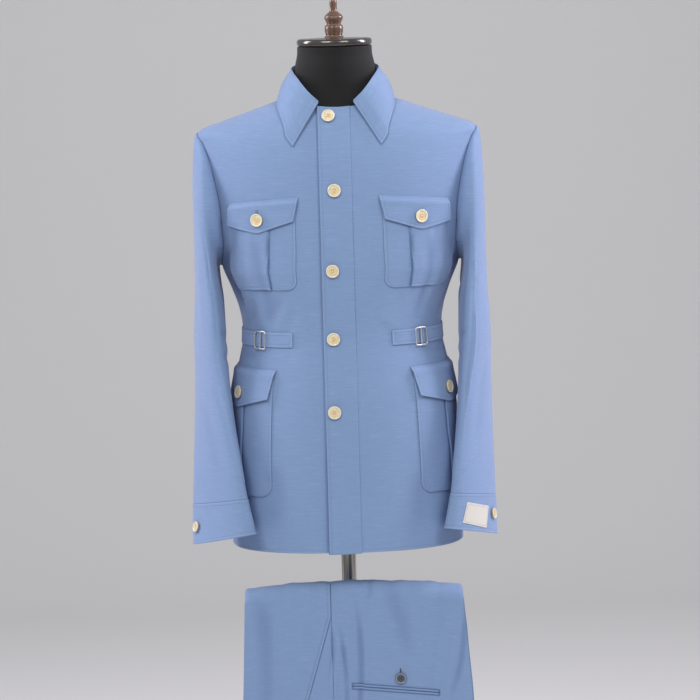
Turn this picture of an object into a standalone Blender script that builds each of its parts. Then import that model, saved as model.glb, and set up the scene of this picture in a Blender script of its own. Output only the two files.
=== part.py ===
"""Safari suit on a limbless dress form.

The jacket is worn by the form. The trousers hang folded over a bar in front of its pole, waist down.
Metres, +Z up. The front faces -Y and +X is the wearer's left. The origin is the middle of the base's
underside, on the pole's axis. Every cloth piece is a thin wall on a surface worked out from the tables.
"""

import math

import bmesh
import bpy
import numpy as np
from mathutils import Vector

# Cloth and seams
CLOTH = 0.0016
FUSED_CLOTH = 0.0020
SEAM = 0.0003
PLEAT_RISE = 0.0016
PLEAT_EDGE = 0.0016

# Jacket body: one row for each ring, from the hem up to the neckline. Heights are at the centre front,
# side and centre back; the edges are the angles from the centre front at which the panels end.
RING_COLUMNS = ("front_z", "side_z", "back_z", "half_width", "front_depth", "back_depth", "roundness",
                "front_edge", "back_edge")
RINGS = (
    (0.752, 0.752, 0.752, 0.1870, 0.1470, 0.1410, 2.35, 106, 106),
    (0.820, 0.820, 0.820, 0.1875, 0.1470, 0.1425, 2.35, 106, 106),
    (0.885, 0.885, 0.885, 0.1855, 0.1460, 0.1440, 2.35, 106, 106),
    (0.945, 0.945, 0.945, 0.1823, 0.1445, 0.1440, 2.35, 106, 106),
    (1.000, 1.000, 1.000, 0.1775, 0.1405, 0.1405, 2.35, 106, 106),
    (1.045, 1.045, 1.045, 0.1690, 0.1340, 0.1310, 2.35, 105, 105),
    (1.090, 1.090, 1.090, 0.1603, 0.1280, 0.1190, 2.35, 103, 103),
    (1.130, 1.130, 1.130, 0.1640, 0.1290, 0.1170, 2.35, 101, 101),
    (1.165, 1.165, 1.165, 0.1750, 0.1320, 0.1190, 2.35, 99, 99),
    (1.198, 1.198, 1.198, 0.1885, 0.1345, 0.1220, 2.35, 97, 97),
    (1.209, 1.209, 1.209, 0.1905, 0.1348, 0.1225, 2.33, 84, 106),
    (1.235, 1.235, 1.235, 0.1930, 0.1345, 0.1230, 2.31, 71, 112),
    (1.270, 1.270, 1.270, 0.1995, 0.1325, 0.1230, 2.30, 66, 114.5),
    (1.310, 1.310, 1.310, 0.2040, 0.1285, 0.1200, 2.30, 65.5, 114),
    (1.343, 1.345, 1.348, 0.2085, 0.1240, 0.1155, 2.30, 67.5, 112),
    (1.373, 1.378, 1.382, 0.2135, 0.1180, 0.1090, 2.26, 71, 109),
    (1.396, 1.403, 1.412, 0.2190, 0.1110, 0.1005, 2.18, 77, 103),
    (1.413, 1.421, 1.436, 0.2215, 0.1050, 0.0910, 1.96, 90, 90),
    (1.4265, 1.4385, 1.451, 0.1750, 0.0995, 0.0840, 1.94, 90, 90),
    (1.439, 1.4535, 1.465, 0.1310, 0.0940, 0.0775, 1.98, 90, 90),
    (1.449, 1.466, 1.477, 0.0950, 0.0888, 0.0718, 2.04, 90, 90),
    (1.4575, 1.473, 1.486, 0.0780, 0.0840, 0.0675, 2.10, 90, 90),
)
ARMPIT_RING = 9
SHOULDER_RING = 17
NECK_RING = len(RINGS) - 1

# Front closure: the wearer's left front lies over the right one under a placket strip
LAP_LINES = (-0.0305, -0.0045, 0.0215)
UNROLLED_RADIUS = 0.16
FRONT_CELLS = 9
BACK_CELLS = 14
UNDERLAP = 0.0022

# Armhole and sleeve: a ring's centre, half sizes, lean of its plane and turn about the vertical
ARM_COLUMNS = ("x", "y", "z", "long_half", "thin_half", "rise", "turn", "slope", "armhole_share", "swing")
ARM_ROWS = (
    (0.2060, -0.0010, 1.3100, 0.0545, 0.0180, 0.1110, 0, 0.0, 1.0, 0.0),
    (0.2108, 0.0, 1.3075, 0.0690, 0.0178, 0.1045, 0, 0.0, 0.7, 0.0),
    (0.2138, 0.0, 1.2960, 0.0760, 0.0178, 0.0960, 0, 0.0, 0.42, 0.0),
    (0.2143, 0.0, 1.2740, 0.0805, 0.0193, 0.0860, 0, 0.0, 0.2, 0.0),
    (0.2139, 0.0, 1.2410, 0.0830, 0.0213, 0.0690, 1, 0.0, 0.06, 0.0),
    (0.2127, -0.0010, 1.1960, 0.0835, 0.0227, 0.0440, 3, 0.0, 0.0, 0.0),
    (0.2124, -0.0030, 1.1425, 0.0820, 0.0232, 0.0225, 6, 0.0, 0.0, 0.0),
    (0.2136, -0.0090, 1.0830, 0.0790, 0.0243, 0.0050, 9, 0.0, 0.0, 0.05),
    (0.2119, -0.0220, 1.0150, 0.0755, 0.0222, 0.0, 14, 0.0020, 0.0, 0.18),
    (0.2091, -0.0410, 0.9450, 0.0715, 0.0216, 0.0, 19, 0.0040, 0.0, 0.38),
    (0.2060, -0.0595, 0.8850, 0.0680, 0.0210, 0.0, 25, 0.0075, 0.0, 0.60),
    (0.2032, -0.0725, 0.8310, 0.0655, 0.0205, 0.0, 30.5, 0.0098, 0.0, 0.80),
    (0.1975, -0.0875, 0.7725, 0.0620, 0.0218, 0.0, 40, 0.0125, 0.0, 1.0),
)
CUFF_ROW = 11
ARM_COLUMN_COUNT = 16
UNDER_SLEEVE_COLUMNS = (6, 12)
CUFF_PROUD = 0.0006
SWING = {"left": (0.0, 0.0), "right": (13.0, -0.0150)}

# Patch pockets and flaps of the wearer's left half, as seen from the front: x, z or angle, z
CHEST_POCKET = {"inner": 0.0680, "outer": 0.1700, "top": 1.2990, "bottom": 1.1720, "corner": 0.016,
                "pleat": (0.1100, 0.1440)}
CHEST_FLAP = {"top": ((0.0630, 1.3190), (0.1730, 1.3090)), "outer": (0.1745, 1.2740),
              "tip": (0.1275, 1.2620), "inner": (0.0715, 1.2810)}
HIP_POCKET = {"inner": 37.5, "outer": 94.5, "top": 1.0290, "bottom": 0.8410, "corner": 0.018,
              "pleat": (58.0, 71.0)}
HIP_FLAP = {"top": ((36.6, 1.0440), (97.0, 1.0440)), "outer": (95.0, 0.9970), "tip": (62.5, 0.9805),
            "inner": (39.5, 0.9970)}
FLAP_STEP = 0.010
FLAP_BUTTON_DROP = {"chest": 1.2835, "hip": 1.0045}

# Waist tabs with their slide buckles
TAB = {"bottom": 1.0790, "top": 1.1035, "front": 0.0790, "side": 100.5, "tip": 0.0010}
BUCKLE = {"width": 0.0262, "height": 0.0305, "bar": 0.0026, "thick": 0.0016, "z": 1.0900,
          "gap": 0.0022}
BUCKLE_X = {"left": 0.1228, "right": 0.1285}

# Buttons: outer radius, thickness, and the places of the five on the placket
BUTTON = {"radius": 0.0107, "thick": 0.0036, "rim": 0.0026, "dish": 0.0010, "gap": 0.0006}
SMALL_BUTTON_RADIUS = 0.0088
FRONT_BUTTONS = ((-0.0125, 1.4430), (-0.0065, 1.3280), (-0.0125, 1.2020), (-0.0140, 1.0925),
                 (-0.0155, 0.9770))
CUFF_BUTTONS = {"left": (14.70, 11.50), "right": (14.20, 11.58)}
CUFF_LENGTH = 0.0585
PATCH_LABEL = {"width": 0.0600, "height": 0.0350, "column": 0.75, "row": 11.56, "tilt": 0.088,
               "thick": 0.0006}

# Collar: one row from the front end to the centre back. The fold is a place; the edge lies on the body
COLLAR_COLUMNS = ("share", "fold_x", "fold_y", "fold_z", "edge_ring", "edge_angle", "bulge")
COLLAR_ROWS = (
    (0.00, 0.0272, -0.0815, 1.4662, 16.03, 18.1, 0.0010),
    (0.14, 0.0430, -0.0775, 1.4815, 17.62, 25.1, 0.0020),
    (0.32, 0.0585, -0.0570, 1.5010, 19.10, 45.2, 0.0035),
    (0.50, 0.0680, -0.0190, 1.5130, 20.05, 80.0, 0.0040),
    (0.66, 0.0665, 0.0210, 1.5180, 20.05, 113.0, 0.0035),
    (0.83, 0.0500, 0.0510, 1.5205, 19.90, 146.0, 0.0030),
    (1.00, 0.0000, 0.0690, 1.5215, 19.80, 180.0, 0.0030),
)
COLLAR_CELLS = 20
COLLAR_LIFT = 0.0042
COLLAR_STAND_WALL = 0.0014
COLLAR_ROLL = 0.0024
STAND_END_X = 0.0322
CROWN = 0.0006
LEAF_PARTS = (0.38, 0.7, 1.0)

# Dress form: rings from its bottom up to the neck, then turned pieces as (radius, height) profiles
FORM_COLUMNS = ("z", "half_width", "front_depth", "back_depth", "roundness")
FORM_RINGS = (
    (0.862, 0.1580, 0.1180, 0.1160, 2.25),
    (0.872, 0.1670, 0.1270, 0.1250, 2.25),
    (0.950, 0.1680, 0.1300, 0.1300, 2.25),
    (1.000, 0.1640, 0.1270, 0.1270, 2.25),
    (1.045, 0.1560, 0.1205, 0.1175, 2.25),
    (1.090, 0.1480, 0.1145, 0.1055, 2.25),
    (1.130, 0.1510, 0.1155, 0.1035, 2.25),
    (1.165, 0.1600, 0.1185, 0.1055, 2.25),
    (1.200, 0.1680, 0.1210, 0.1085, 2.25),
    (1.250, 0.1710, 0.1210, 0.1095, 2.25),
    (1.300, 0.1720, 0.1170, 0.1070, 2.25),
    (1.345, 0.1760, 0.1110, 0.1020, 2.25),
    (1.380, 0.1840, 0.1045, 0.0960, 2.15),
    (1.405, 0.1880, 0.0970, 0.0900, 2.02),
    (1.421, 0.1780, 0.0910, 0.0860, 1.95),
    (1.434, 0.1480, 0.0850, 0.0810, 1.95),
    (1.446, 0.1150, 0.0790, 0.0750, 1.95),
    (1.457, 0.0870, 0.0735, 0.0690, 1.95),
    (1.468, 0.0715, 0.0690, 0.0650, 2.10),
    (1.485, 0.0665, 0.0660, 0.0635, 2.10),
    (1.505, 0.0652, 0.0650, 0.0630, 2.10),
    (1.521, 0.0640, 0.0640, 0.0625, 2.10),
    (1.538, 0.0605, 0.0605, 0.0600, 2.10),
    (1.5515, 0.0598, 0.0598, 0.0596, 2.10),
)
FORM_SIDES = 24
NECK_CAP = ((0.0, 1.5520), (0.0570, 1.5520), (0.0600, 1.5540), (0.0608, 1.5580), (0.0598, 1.5620),
            (0.0570, 1.5640), (0.0150, 1.5650), (0.0, 1.5650))
FINIAL = ((0.0, 1.5655), (0.0148, 1.5655), (0.0146, 1.5672), (0.0130, 1.5690), (0.0138, 1.5715),
          (0.0149, 1.5767), (0.0149, 1.5815), (0.0140, 1.5840), (0.0115, 1.5864), (0.0115, 1.5880),
          (0.0125, 1.5905), (0.0149, 1.5962), (0.0143, 1.5994), (0.0115, 1.6027), (0.0078, 1.6055),
          (0.0060, 1.6085), (0.0058, 1.6160), (0.0060, 1.6230), (0.0045, 1.6262), (0.0, 1.6270))
BASE = ((0.0, 0.0), (0.1720, 0.0), (0.1750, 0.0030), (0.1740, 0.0090), (0.1690, 0.0120), (0.0260, 0.0120),
        (0.0220, 0.0150), (0.0200, 0.0340), (0.0180, 0.0360), (0.0, 0.0360))
POLE_RADIUS = 0.0118

# Trousers over their bar: the path goes from the waist up the front drop, over the bar, down the back
TROUSER_AXIS_Y = -0.0955
TROUSER_TOP = 0.6990
TROUSER_ARCH = 0.0105
TROUSER_HALF = 0.1780
FOLD_RADIUS = 0.0237
TROUSER_PUFF = 0.0030
SIDE_COLUMNS = ("z", "left", "right")
TROUSER_SIDES = (
    (0.400, -0.1830, 0.2005),
    (0.470, -0.1795, 0.1975),
    (0.550, -0.1745, 0.1940),
    (0.620, -0.1715, 0.1882),
    (0.700, -0.1680, 0.1820),
)
BACK_TAPER = 0.030
SIDE_SEAM_X = -0.0303
SLANT = ((-0.0303, 0.6446), (-0.0950, 0.4300))
WAIST_Z = 0.4640
WAIST_TILT = 0.106
BAND_HEIGHT = 0.0380
BAND_PROUD = 0.0006
BAND_MARGIN = 0.0026
BAND_SHARES = (-0.992, -0.72, -0.46, -0.208, 0.04, 0.29, 0.53, 0.77, 0.992)
CORE_THICK = 0.0090
CORE_ENDS = (-0.292, 0.288)
CORE_PULL = (0.0022, 0.0050, 0.0022, 0.0050, 0.0022, 0.0044)
PANEL_SHARES = (0.0, 0.13, 0.26, 0.38, 0.50, 0.625, 0.75, 0.875, 1.0)
PANEL_ENDS = (-0.300, 0.290)
PANEL_RIGHT = 0.21
FOLD_CELLS = 6
DROP_CELLS = 5
WELT = {"left": (-0.0003, 0.5369), "right": (0.1403, 0.5220), "height": 0.0094, "lift": 0.0004,
        "thick": 0.0010}
TROUSER_BUTTON = (0.0783, 0.5427)
BAR_RADIUS = 0.0118
BAR_HALF = 0.1620
POST_RADIUS = 0.0090

# Finishes: colour, roughness, metallic
FINISHES = {
    "suit_cloth": ((0.216, 0.332, 0.578), 0.72, 0.0),
    "button_horn": ((0.620, 0.520, 0.300), 0.35, 0.0),
    "button_dark": ((0.060, 0.070, 0.095), 0.40, 0.0),
    "buckle_metal": ((0.600, 0.600, 0.580), 0.30, 1.0),
    "patch_woven": ((0.780, 0.780, 0.740), 0.80, 0.0),
    "form_cloth": ((0.012, 0.012, 0.013), 0.85, 0.0),
    "cap_gloss": ((0.030, 0.022, 0.018), 0.25, 0.0),
    "turned_wood": ((0.120, 0.030, 0.018), 0.35, 0.0),
    "pole_chrome": ((0.700, 0.700, 0.700), 0.15, 1.0),
    "base_paint": ((0.040, 0.040, 0.042), 0.45, 0.0),
}


def clear_scene():
    """Removes whatever the scene holds."""
    for item in list(bpy.data.objects):
        bpy.data.objects.remove(item, do_unlink=True)


def finish(name):
    """Returns the finish's material, made on its first use."""
    found = bpy.data.materials.get(name)
    if found:
        return found
    colour, roughness, metallic = FINISHES[name]
    made = bpy.data.materials.new(name)
    made.use_nodes = True
    shader = made.node_tree.nodes["Principled BSDF"]
    shader.inputs["Base Color"].default_value = (*colour, 1.0)
    shader.inputs["Roughness"].default_value = roughness
    shader.inputs["Metallic"].default_value = metallic
    return made


def columns(names, rows):
    """Turns a table into one array for each named column."""
    table = np.array(rows, dtype=float)
    return {name: table[:, index] for index, name in enumerate(names)}


RING = columns(RING_COLUMNS, RINGS)
ARM = columns(ARM_COLUMNS, ARM_ROWS)
COLLAR = columns(COLLAR_COLUMNS, COLLAR_ROWS)
FORM = columns(FORM_COLUMNS, FORM_RINGS)
SIDES = columns(SIDE_COLUMNS, TROUSER_SIDES)


def along(values, at):
    """Reads a column between its rows, on a smooth curve through them."""
    last = len(values) - 1
    at = np.clip(np.asarray(at, dtype=float), 0.0, last)
    low = np.minimum(at.astype(int), last - 1)
    part = at - low
    slopes = np.gradient(values)
    rise = part * part * (3 - 2 * part)
    leave = part * (1 - part) ** 2 * slopes[low]
    arrive = part * part * (part - 1) * slopes[low + 1]
    return values[low] * (1 - rise) + values[low + 1] * rise + leave + arrive


def unit(vectors):
    """Scales vectors to length one."""
    return vectors / np.maximum(np.linalg.norm(vectors, axis=-1, keepdims=True), 1e-12)


def body(ring, angle):
    """The jacket's outer surface: a rounded box section at a ring, read at an angle from the front."""
    ring = np.clip(np.asarray(ring, dtype=float), 0, NECK_RING)
    sine = np.sin(angle)
    cosine = np.cos(angle)
    roundness = along(RING["roundness"], ring)
    reach = (np.abs(sine) ** roundness + np.abs(cosine) ** roundness) ** (-1 / roundness)
    in_front = cosine > 0
    depth = np.where(in_front, along(RING["front_depth"], ring), along(RING["back_depth"], ring))
    end_z = np.where(in_front, along(RING["front_z"], ring), along(RING["back_z"], ring))
    side_z = along(RING["side_z"], ring)
    x = along(RING["half_width"], ring) * sine * reach
    y = -depth * cosine * reach
    z = side_z + (end_z - side_z) * cosine * cosine
    return np.stack(np.broadcast_arrays(x, y, z), axis=-1)


def body_normal(ring, angle):
    """The outward direction of the jacket's surface, from small steps along it."""
    across = body(ring, angle + 0.01) - body(ring, angle - 0.01)
    up = body(ring + 0.04, angle) - body(ring - 0.04, angle)
    return unit(np.cross(across, up))


def ring_at(z):
    """The ring whose centre front is at a height."""
    rings = np.linspace(0, NECK_RING, 1200)
    return np.interp(z, along(RING["front_z"], rings), rings)


def angle_at(x, ring):
    """The angle at which a ring's front half reaches x."""
    roundness = along(RING["roundness"], ring)
    share = np.abs(x) / along(RING["half_width"], ring)
    depth_share = (1 - share ** roundness) ** (1 / roundness)
    return np.sign(x) * np.arctan2(share, depth_share)


def flat(angle, z):
    """A place on the jacket's unrolled surface."""
    return (angle * UNROLLED_RADIUS, z)


def flat_x(x, z):
    """A place on the unrolled surface from its x and z as seen from the front."""
    return flat(float(angle_at(x, ring_at(z))), z)


def flat_degrees(degrees, z):
    """A place on the unrolled surface from its angle in degrees."""
    return flat(math.radians(degrees), z)


def mirrored(points, side):
    """The same flat places on the other half of the jacket."""
    return [(side * across, up) for across, up in points]


def add_mesh(name, verts, faces, material, smooth=True):
    """Makes one closed object whose faces point outwards."""
    mesh = bpy.data.meshes.new(name)
    places = [tuple(map(float, vert)) for vert in verts]
    mesh.from_pydata(places, [], [tuple(map(int, face)) for face in faces])
    work = bmesh.new()
    work.from_mesh(mesh)
    bmesh.ops.recalc_face_normals(work, faces=work.faces)
    work.to_mesh(mesh)
    work.free()
    mesh.materials.append(finish(material))
    if smooth:
        mesh.shade_smooth()
        mesh.set_sharp_from_angle(angle=math.radians(40))
    item = bpy.data.objects.new(name, mesh)
    bpy.context.scene.collection.objects.link(item)
    return item


def grid_triangles(row_count, column_count, wrap=False):
    """The triangles of a grid of points, two for each cell, joined round when it wraps."""
    rows = np.arange(row_count - 1)[:, None]
    cells = column_count if wrap else column_count - 1
    across = np.arange(cells)[None, :]
    after = (across + 1) % column_count
    a = (rows * column_count + across).ravel()
    b = (rows * column_count + after).ravel()
    c = ((rows + 1) * column_count + after).ravel()
    d = ((rows + 1) * column_count + across).ravel()
    return np.concatenate([np.stack([a, b, c], 1), np.stack([a, c, d], 1)])


def open_edges(triangles):
    """The directed edges that only one triangle has."""
    edges = [(a, b) for tri in triangles for a, b in ((tri[0], tri[1]), (tri[1], tri[2]), (tri[2], tri[0]))]
    known = set(edges)
    return [(a, b) for a, b in edges if (b, a) not in known]


def wall(name, outer, inner, triangles, material):
    """A closed wall between an outer and an inner set of points that share their triangles."""
    count = len(outer)
    triangles = [tuple(map(int, tri)) for tri in triangles]
    faces = list(triangles)
    faces += [(c + count, b + count, a + count) for a, b, c in triangles]
    for a, b in open_edges(triangles):
        faces.append((b, a, a + count))
        faces.append((b, a + count, b + count))
    return add_mesh(name, np.concatenate([outer, inner]), faces, material)


def pulled_in(points, normals, edges, amount, wrap=False):
    """Moves the named edges of a grid into its surface, square to each edge, which leaves a seam gap."""
    moved = points.copy()
    steps = {"left": (np.s_[:, 0], np.s_[:, 1]), "right": (np.s_[:, -1], np.s_[:, -2]),
             "bottom": (np.s_[0], np.s_[1]), "top": (np.s_[-1], np.s_[-2])}
    for edge in edges:
        end, nearby = steps[edge]
        line = points[end]
        if wrap:
            tangent = np.roll(line, -1, axis=0) - np.roll(line, 1, axis=0)
        else:
            tangent = np.gradient(line, axis=0)
        inward = unit(np.cross(tangent, normals[end]))
        side = np.sign(np.sum(inward * (points[nearby] - line), axis=-1, keepdims=True))
        moved[end] = moved[end] + inward * side * amount
    return moved


def grid_wall(name, points, normals, material, thick=CLOTH, wrap=False):
    """A wall whose outer face is a grid of points."""
    rows, across = points.shape[:2]
    outer = points.reshape(-1, 3)
    inner = (points - normals * thick).reshape(-1, 3)
    return wall(name, outer, inner, grid_triangles(rows, across, wrap), material)


def grid_normals(points, wrap=False):
    """Outward directions of a grid of points, whose rows go down and columns go round clockwise."""
    if wrap:
        padded = np.concatenate([points[:, -1:], points, points[:, :1]], axis=1)
        across = padded[:, 2:] - padded[:, :-2]
    else:
        across = np.gradient(points, axis=1)
    down = np.gradient(points, axis=0)
    return unit(np.cross(across, down))


def panel(rings, angles, lift=0.0):
    """A jacket panel: points, normals and unrolled places at given rings and angles."""
    points = body(rings, angles)
    normals = body_normal(rings, angles)
    lift = np.broadcast_to(lift, angles.shape)[..., None]
    places = np.stack([angles * UNROLLED_RADIUS, points[..., 2]], axis=-1)
    return {"points": points + normals * lift, "normals": normals, "flat": places}


def front_panel(side):
    """Rings and angles of one front; side is 1 for the wearer's left, which lies on top."""
    rings = np.arange(NECK_RING + 1, dtype=float)[:, None]
    lap = np.array(LAP_LINES)[::side]
    lap_angles = angle_at(lap[None, :], rings)
    edge = np.radians(along(RING["front_edge"], rings)) * side
    shares = np.arange(1, FRONT_CELLS + 1)[None, :] / FRONT_CELLS
    angles = np.concatenate([lap_angles, lap_angles[:, -1:] + (edge - lap_angles[:, -1:]) * shares], axis=1)
    lift = np.zeros(angles.shape)
    if side < 0:
        lift[:, :len(LAP_LINES)] = -UNDERLAP
    return panel(np.broadcast_to(rings, angles.shape), angles, lift)


def back_panel():
    """Rings and angles of the back, from the wearer's left side seam round to the right."""
    rings = np.arange(NECK_RING + 1, dtype=float)[:, None]
    edge = np.radians(along(RING["back_edge"], rings))
    shares = np.arange(BACK_CELLS + 1)[None, :] / BACK_CELLS
    angles = edge + (2 * math.pi - 2 * edge) * shares
    return panel(np.broadcast_to(rings, angles.shape), angles)


def arm_ring(row, turn_columns, side_name):
    """The sleeve's tube before it joins the armhole: a flat oval, 0 outside, then front, inside, back."""
    extra_turn, extra_y = SWING[side_name]
    swing = along(ARM["swing"], row)
    around = np.asarray(turn_columns) * (2 * math.pi / ARM_COLUMN_COUNT)
    turn = np.radians(along(ARM["turn"], row) + extra_turn * swing)
    thin = along(ARM["thin_half"], row) * np.cos(around)
    long = along(ARM["long_half"], row) * np.sin(around)
    x = along(ARM["x"], row) + thin * np.cos(turn) - long * np.sin(turn)
    y = along(ARM["y"], row) + extra_y * swing - thin * np.sin(turn) - long * np.cos(turn)
    lean = along(ARM["rise"], row) * np.cos(around) + along(ARM["slope"], row) * np.sin(around)
    z = along(ARM["z"], row) + lean
    return np.stack(np.broadcast_arrays(x, y, z), axis=-1)


def armhole(turn_columns):
    """The armhole's edge on the jacket's body and its outward direction, in the sleeve's columns."""
    turn_columns = np.mod(np.asarray(turn_columns, dtype=float), ARM_COLUMN_COUNT)
    half = ARM_COLUMN_COUNT // 2
    in_front = turn_columns <= half
    rings = np.where(in_front, SHOULDER_RING - turn_columns, ARMPIT_RING + turn_columns - half)
    degrees = np.where(in_front, along(RING["front_edge"], rings), along(RING["back_edge"], rings))
    angles = np.radians(degrees)
    return body(rings, angles), body_normal(rings, angles)


def sleeve_grid(rows, turn_columns, side_name):
    """Points of the wearer's left sleeve: the tube, drawn onto the armhole's edge at its top."""
    rows = np.asarray(rows, dtype=float)[:, None]
    turn_columns = np.asarray(turn_columns, dtype=float)[None, :]
    tube = arm_ring(rows, turn_columns, side_name)
    edge, _ = armhole(turn_columns)
    share = along(ARM["armhole_share"], rows)[..., None]
    return tube + share * (edge - arm_ring(0.0, turn_columns, side_name))


def sleeve(side_name):
    """Points and normals of a whole sleeve and cuff, and the shared directions at the armhole."""
    rows = np.arange(len(ARM_ROWS))
    around = np.arange(ARM_COLUMN_COUNT)
    points = sleeve_grid(rows, around, side_name)
    normals = grid_normals(points, wrap=True)
    _, body_side = armhole(around)
    normals[0] = unit(normals[0] + body_side)
    return pulled_in(points, normals, ("bottom",), SEAM, wrap=True), normals


def flip(points, side):
    """Mirrors points or directions onto the other half."""
    return points * np.array([side, 1.0, 1.0])


def applique(name, base, outline, material, lift, thick, cuts=(), raised=None):
    """A piece lying on a faceted surface: its triangles cut to a convex outline and moved out.

    base holds points, normals and flat places; lift and raised are numbers or functions of a flat place.
    """
    rows, across = base["flat"].shape[:2]
    places = base["flat"].reshape(-1, 2)
    points = base["points"].reshape(-1, 3)
    normals = base["normals"].reshape(-1, 3)
    work = bmesh.new()
    point_layer = work.verts.layers.float_vector.new("point")
    normal_layer = work.verts.layers.float_vector.new("normal")
    made = []
    for place, point, normal in zip(places, points, normals):
        vert = work.verts.new((place[0], place[1], 0.0))
        vert[point_layer] = Vector(point)
        vert[normal_layer] = Vector(normal)
        made.append(vert)
    for tri in grid_triangles(rows, across):
        work.faces.new([made[index] for index in tri])
    middle = np.mean(outline, axis=0)
    for start, end in zip(outline, outline[1:] + outline[:1]):
        cut(work, start, end, middle)
    for start, end in cuts:
        cut(work, start, end, None)
    bmesh.ops.remove_doubles(work, verts=work.verts, dist=0.0002)
    bmesh.ops.triangulate(work, faces=work.faces)
    loose = [vert for vert in work.verts if not vert.link_faces]
    bmesh.ops.delete(work, geom=loose, context="VERTS")
    work.verts.index_update()
    place = np.array([vert.co[:2] for vert in work.verts])
    point = np.array([vert[point_layer][:] for vert in work.verts])
    normal = unit(np.array([vert[normal_layer][:] for vert in work.verts]))
    triangles = [tuple(vert.index for vert in face.verts) for face in work.faces]
    work.free()
    low = lift(place) if callable(lift) else np.full(len(place), lift)
    high = low + thick
    if raised:
        high = high + raised(place)
    inner = point + normal * low[:, None]
    outer = point + normal * high[:, None]
    return wall(name, outer, inner, triangles, material)


def cut(work, start, end, keep_side):
    """Cuts a flat mesh along a line and drops what lies beyond it, away from the side that is kept."""
    along_line = np.subtract(end, start)
    away = np.array([along_line[1], -along_line[0]])
    if keep_side is not None and np.dot(np.subtract(keep_side, start), away) > 0:
        away = -away
    everything = work.verts[:] + work.edges[:] + work.faces[:]
    bmesh.ops.bisect_plane(work, geom=everything, dist=1e-7, plane_co=(start[0], start[1], 0.0),
                           plane_no=(away[0], away[1], 0.0), clear_outer=keep_side is not None)


def rounded_corner(before, corner, after, radius, steps=3):
    """Replaces a corner by an arc-like curve that starts a radius away on both sides."""
    corner = np.array(corner)
    start = corner + unit(np.subtract(before, corner)) * radius
    end = corner + unit(np.subtract(after, corner)) * radius
    curve = []
    for step in range(steps + 1):
        part = step / steps
        curve.append(tuple(start * (1 - part) ** 2 + corner * 2 * part * (1 - part) + end * part ** 2))
    return curve


def ramp(values, start, end):
    """0 at start, 1 at end, straight between them."""
    return np.clip((values - start) / (end - start), 0.0, 1.0)


def surface_frame(x, z, lift):
    """A place on the jacket and its across, up and outward directions."""
    ring = ring_at(z)
    return frame_on(ring, float(angle_at(x, ring)), lift)


def frame_on(ring, angle, lift):
    """The frame at a ring and an angle."""
    normal = body_normal(ring, angle)
    return place_frame(body(ring, angle) + normal * lift, normal)


def place_frame(point, normal):
    """Across and up directions for a place with an outward direction."""
    across = unit(np.cross(np.array([0.0, 0.0, 1.0]), normal))
    return point, across, np.cross(normal, across), normal


def placed(frame, local):
    """Local across, up and out sizes turned into places."""
    origin, across, up, out = frame
    local = np.asarray(local, dtype=float)
    return origin + local[:, :1] * across + local[:, 1:2] * up + local[:, 2:3] * out


def button(name, frame, radius=BUTTON["radius"], material="button_horn", side_count=12):
    """A dished button with a raised rim, its back just above the cloth."""
    thick = BUTTON["thick"]
    floor = thick - BUTTON["dish"]
    profile = ((radius * 0.86, 0.0), (radius, thick * 0.45), (radius * 0.93, thick),
               (radius - BUTTON["rim"], floor))
    verts = [(0.0, 0.0, 0.0)]
    for size, height in profile:
        for step in range(side_count):
            turn = 2 * math.pi * step / side_count
            verts.append((size * math.cos(turn), size * math.sin(turn), height))
    verts.append((0.0, 0.0, floor))
    faces = []
    for step in range(side_count):
        after = (step + 1) % side_count
        faces.append((0, 1 + after, 1 + step))
        for ring in range(len(profile) - 1):
            low = 1 + ring * side_count
            high = low + side_count
            faces.append((low + step, low + after, high + after, high + step))
        last = 1 + (len(profile) - 1) * side_count
        faces.append((last + step, last + after, len(verts) - 1))
    return add_mesh(name, placed(frame, verts), faces, material)


def turned(name, profile, material, sides, centre=(0.0, 0.0)):
    """A solid turned about a vertical axis from (radius, height) points that start and end on it."""
    verts = [(centre[0], centre[1], profile[0][1])]
    for radius, height in profile[1:-1]:
        for step in range(sides):
            turn = 2 * math.pi * step / sides
            verts.append((centre[0] + radius * math.cos(turn), centre[1] + radius * math.sin(turn), height))
    verts.append((centre[0], centre[1], profile[-1][1]))
    faces = []
    ring_count = len(profile) - 2
    for step in range(sides):
        after = (step + 1) % sides
        faces.append((0, 1 + after, 1 + step))
        for ring in range(ring_count - 1):
            low = 1 + ring * sides
            faces.append((low + step, low + after, low + sides + after, low + sides + step))
        last = 1 + (ring_count - 1) * sides
        faces.append((last + step, last + after, len(verts) - 1))
    return add_mesh(name, verts, faces, material)


def build_fronts_and_back():
    """The three body panels; returns the fronts, which carry the pockets."""
    fronts = {}
    for side, name in ((1, "left"), (-1, "right")):
        base = front_panel(side)
        fronts[side] = base
        normals = with_armhole_direction(base["normals"], np.s_[:, -1], side, front=True)
        points = pulled_in(base["points"], normals, ("right",), SEAM / 2)
        grid_wall("jacket_front_" + name, points, normals, "suit_cloth")
    base = back_panel()
    normals = with_armhole_direction(base["normals"], np.s_[:, 0], 1, front=False)
    normals = with_armhole_direction(normals, np.s_[:, -1], -1, front=False)
    points = pulled_in(base["points"], normals, ("left", "right"), SEAM / 2)
    grid_wall("jacket_back", points, normals, "suit_cloth")
    return fronts


def with_armhole_direction(normals, edge, side, front):
    """Turns a panel's edge directions at the armhole to those that the sleeve shares."""
    normals = normals.copy()
    _, shared = sleeve("left")
    half = ARM_COLUMN_COUNT // 2
    rings = np.arange(ARMPIT_RING, SHOULDER_RING + 1)
    around = SHOULDER_RING - rings if front else (half + rings - ARMPIT_RING) % ARM_COLUMN_COUNT
    chosen = normals[edge]
    chosen[rings] = flip(shared[0][around], side)
    normals[edge] = chosen
    return normals


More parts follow.
